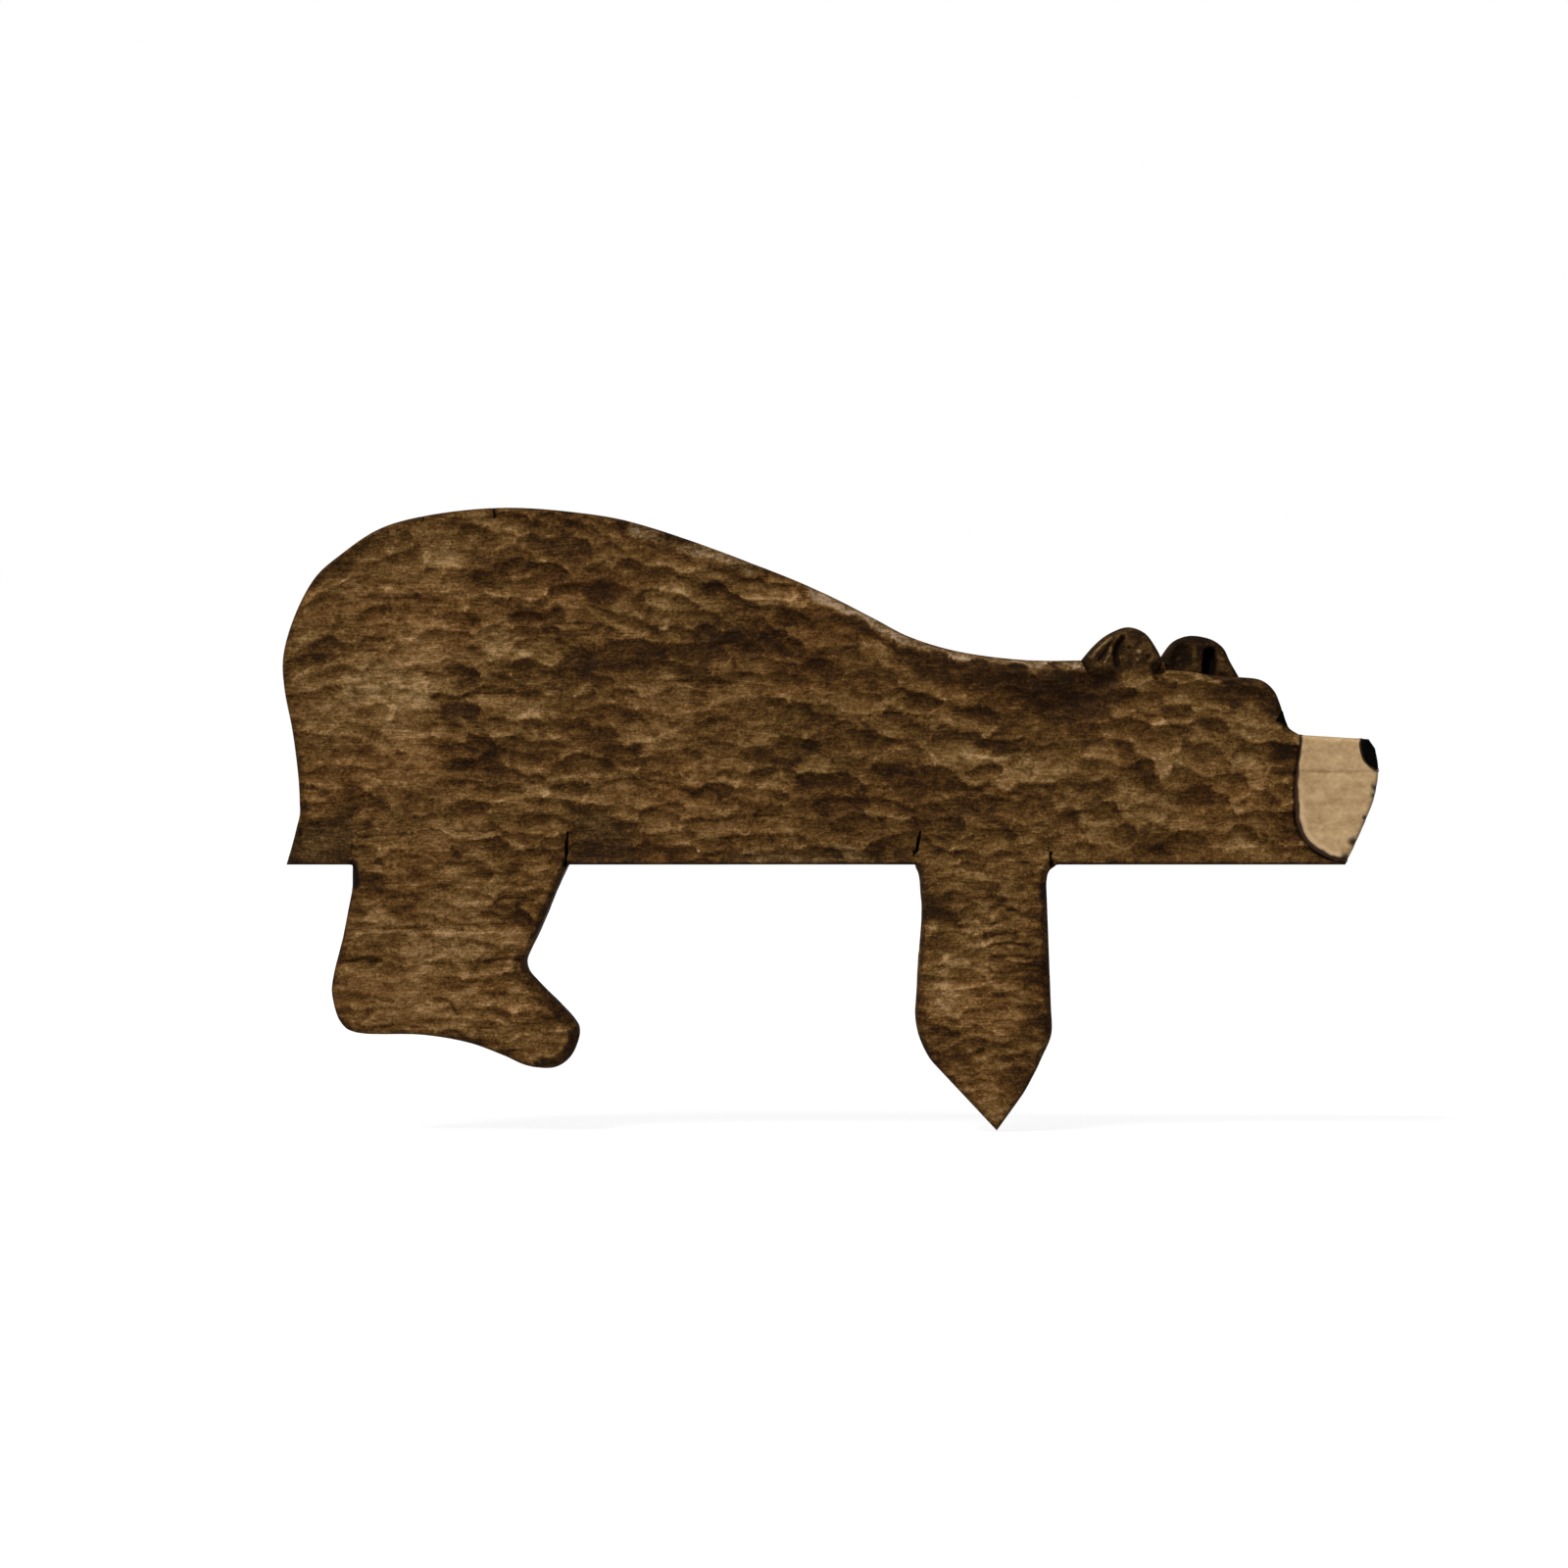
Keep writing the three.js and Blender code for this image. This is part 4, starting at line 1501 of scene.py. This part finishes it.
def black_paint():
    g = Graph("black_paint")
    brush = g.noise((90, 700, 700), detail=4, roughness=0.6, seed=4.0)
    dust = g.noise((1500, 1500, 1500), detail=2, roughness=0.6, seed=7.0)
    value = g.total(g.spread(brush, 0.3, 0.7, 0.2, 0.7), g.spread(dust, 0.3, 0.8, -0.1, 0.3))
    colour = g.ramp(value, [(0.2, linear(2, 2, 2)), (1.0, linear(7, 6, 5))])
    normal = g.bump(brush, 0.3, 0.0002)
    return g.finish(colour, g.spread(brush, 0.3, 0.7, 0.5, 0.7), normal, 0.01)


def birch():
    g = Graph("birch_dowel")
    grain = g.noise((500, 500, 500), detail=4, roughness=0.6, seed=1.0)
    streak = g.noise((900, 900, 60), detail=3, roughness=0.6, seed=2.5)
    value = g.total(g.spread(grain, 0.3, 0.7, 0.0, 0.5), g.spread(streak, 0.3, 0.7, 0.0, 0.5))
    colour = g.ramp(value, [(0.1, linear(226, 205, 165)), (0.9, linear(190, 158, 110))])
    return g.finish(colour, g.spread(grain, 0.3, 0.7, 0.55, 0.75), g.bump(streak, 0.3, 0.0002), 0.35)


materials = {
    "stained_wood": stained_wood("stained_wood"),
    "dark_stained_wood": stained_wood("dark_stained_wood"),
    "bare_wood": bare_wood(),
    "black_paint": black_paint(),
    "dowel_wood": birch(),
}


slot_of_node = {part["node"]: part["material_slot"] for part in frame["record"]["subparts"]}
for node, piece in pieces.items():
    piece.data.materials.clear()
    piece.data.materials.append(materials[slot_of_node[node]])
    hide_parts(node)
    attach(piece, BODY)
for node in DOWELS:
    for holder in frame["nodes"][node].material_slots:
        holder.material = materials["dowel_wood"]


# ---------------------------------------------------------------- floor, light and camera


ROOM_LIGHT = 0.3
WINDOW_LIGHT = 5.6
WINDOW_DIRECTION = (0.42, 0.46, -0.80)
FLOOR_GLOW = 0.9
FLOOR_REACH = 6.0
FLOOR_DROP = 0.0005


def studio_floor():
    height = CAD_BOX[0][2] - FLOOR_DROP
    mesh = bpy.data.meshes.new("floor")
    signs = [(-1, -1), (1, -1), (1, 1), (-1, 1)]
    mesh.from_pydata([(FLOOR_REACH * x, FLOOR_REACH * y, height) for x, y in signs], [], [(0, 1, 2, 3)])
    floor = new_object("floor", mesh)
    g = Graph("pale_floor")
    cloud = g.noise((3, 3, 3), detail=3)
    tone = g.ramp(cloud, [(0.3, linear(96, 96, 95)), (0.7, linear(104, 104, 103))])
    g.finish(tone, 0.8, g.bump(cloud, 0.05, 0.001), 0.1)
    g.shader.inputs["Emission Color"].default_value = (1, 1, 1, 1)
    g.shader.inputs["Emission Strength"].default_value = FLOOR_GLOW
    floor.data.materials.append(g.material)


def studio_light():
    """A room that shows white and lights softly, and a broad lamp from the upper left."""
    world = bpy.data.worlds.new("studio")
    bpy.context.scene.world = world
    world.use_nodes = True
    tree = world.node_tree
    seen = tree.nodes.new("ShaderNodeLightPath").outputs["Is Camera Ray"]
    strength = tree.nodes.new("ShaderNodeMapRange")
    strength.inputs["To Min"].default_value = ROOM_LIGHT
    strength.inputs["To Max"].default_value = 1.0
    tree.links.new(seen, strength.inputs["Value"])
    background = tree.nodes["Background"]
    background.inputs["Color"].default_value = (1, 1, 1, 1)
    tree.links.new(strength.outputs["Result"], background.inputs["Strength"])
    sun = bpy.data.lights.new("window", "SUN")
    sun.energy = WINDOW_LIGHT
    sun.angle = math.radians(30)
    light = new_object("window", sun)
    light.rotation_euler = Vector(WINDOW_DIRECTION).to_track_quat("-Z", "Y").to_euler()


VIEW_WIDTH = 0.4365
VIEW_CENTRE = (-0.0131, 0.0225)


def front_camera():
    """Square on to the carved side, with a long lens."""
    camera = bpy.data.cameras.new("camera")
    camera.lens = 135
    camera.sensor_width = 36
    camera.clip_end = 50
    holder = new_object("camera", camera)
    distance = VIEW_WIDTH * camera.lens / camera.sensor_width
    holder.location = (VIEW_CENTRE[0], ROOM_FACE * MM - distance, VIEW_CENTRE[1])
    holder.rotation_euler = (math.radians(90), 0, 0)
    bpy.context.scene.camera = holder


studio_floor()
studio_light()
front_camera()
bpy.context.scene.view_settings.view_transform = "Standard"

bpy.context.view_layer.update()
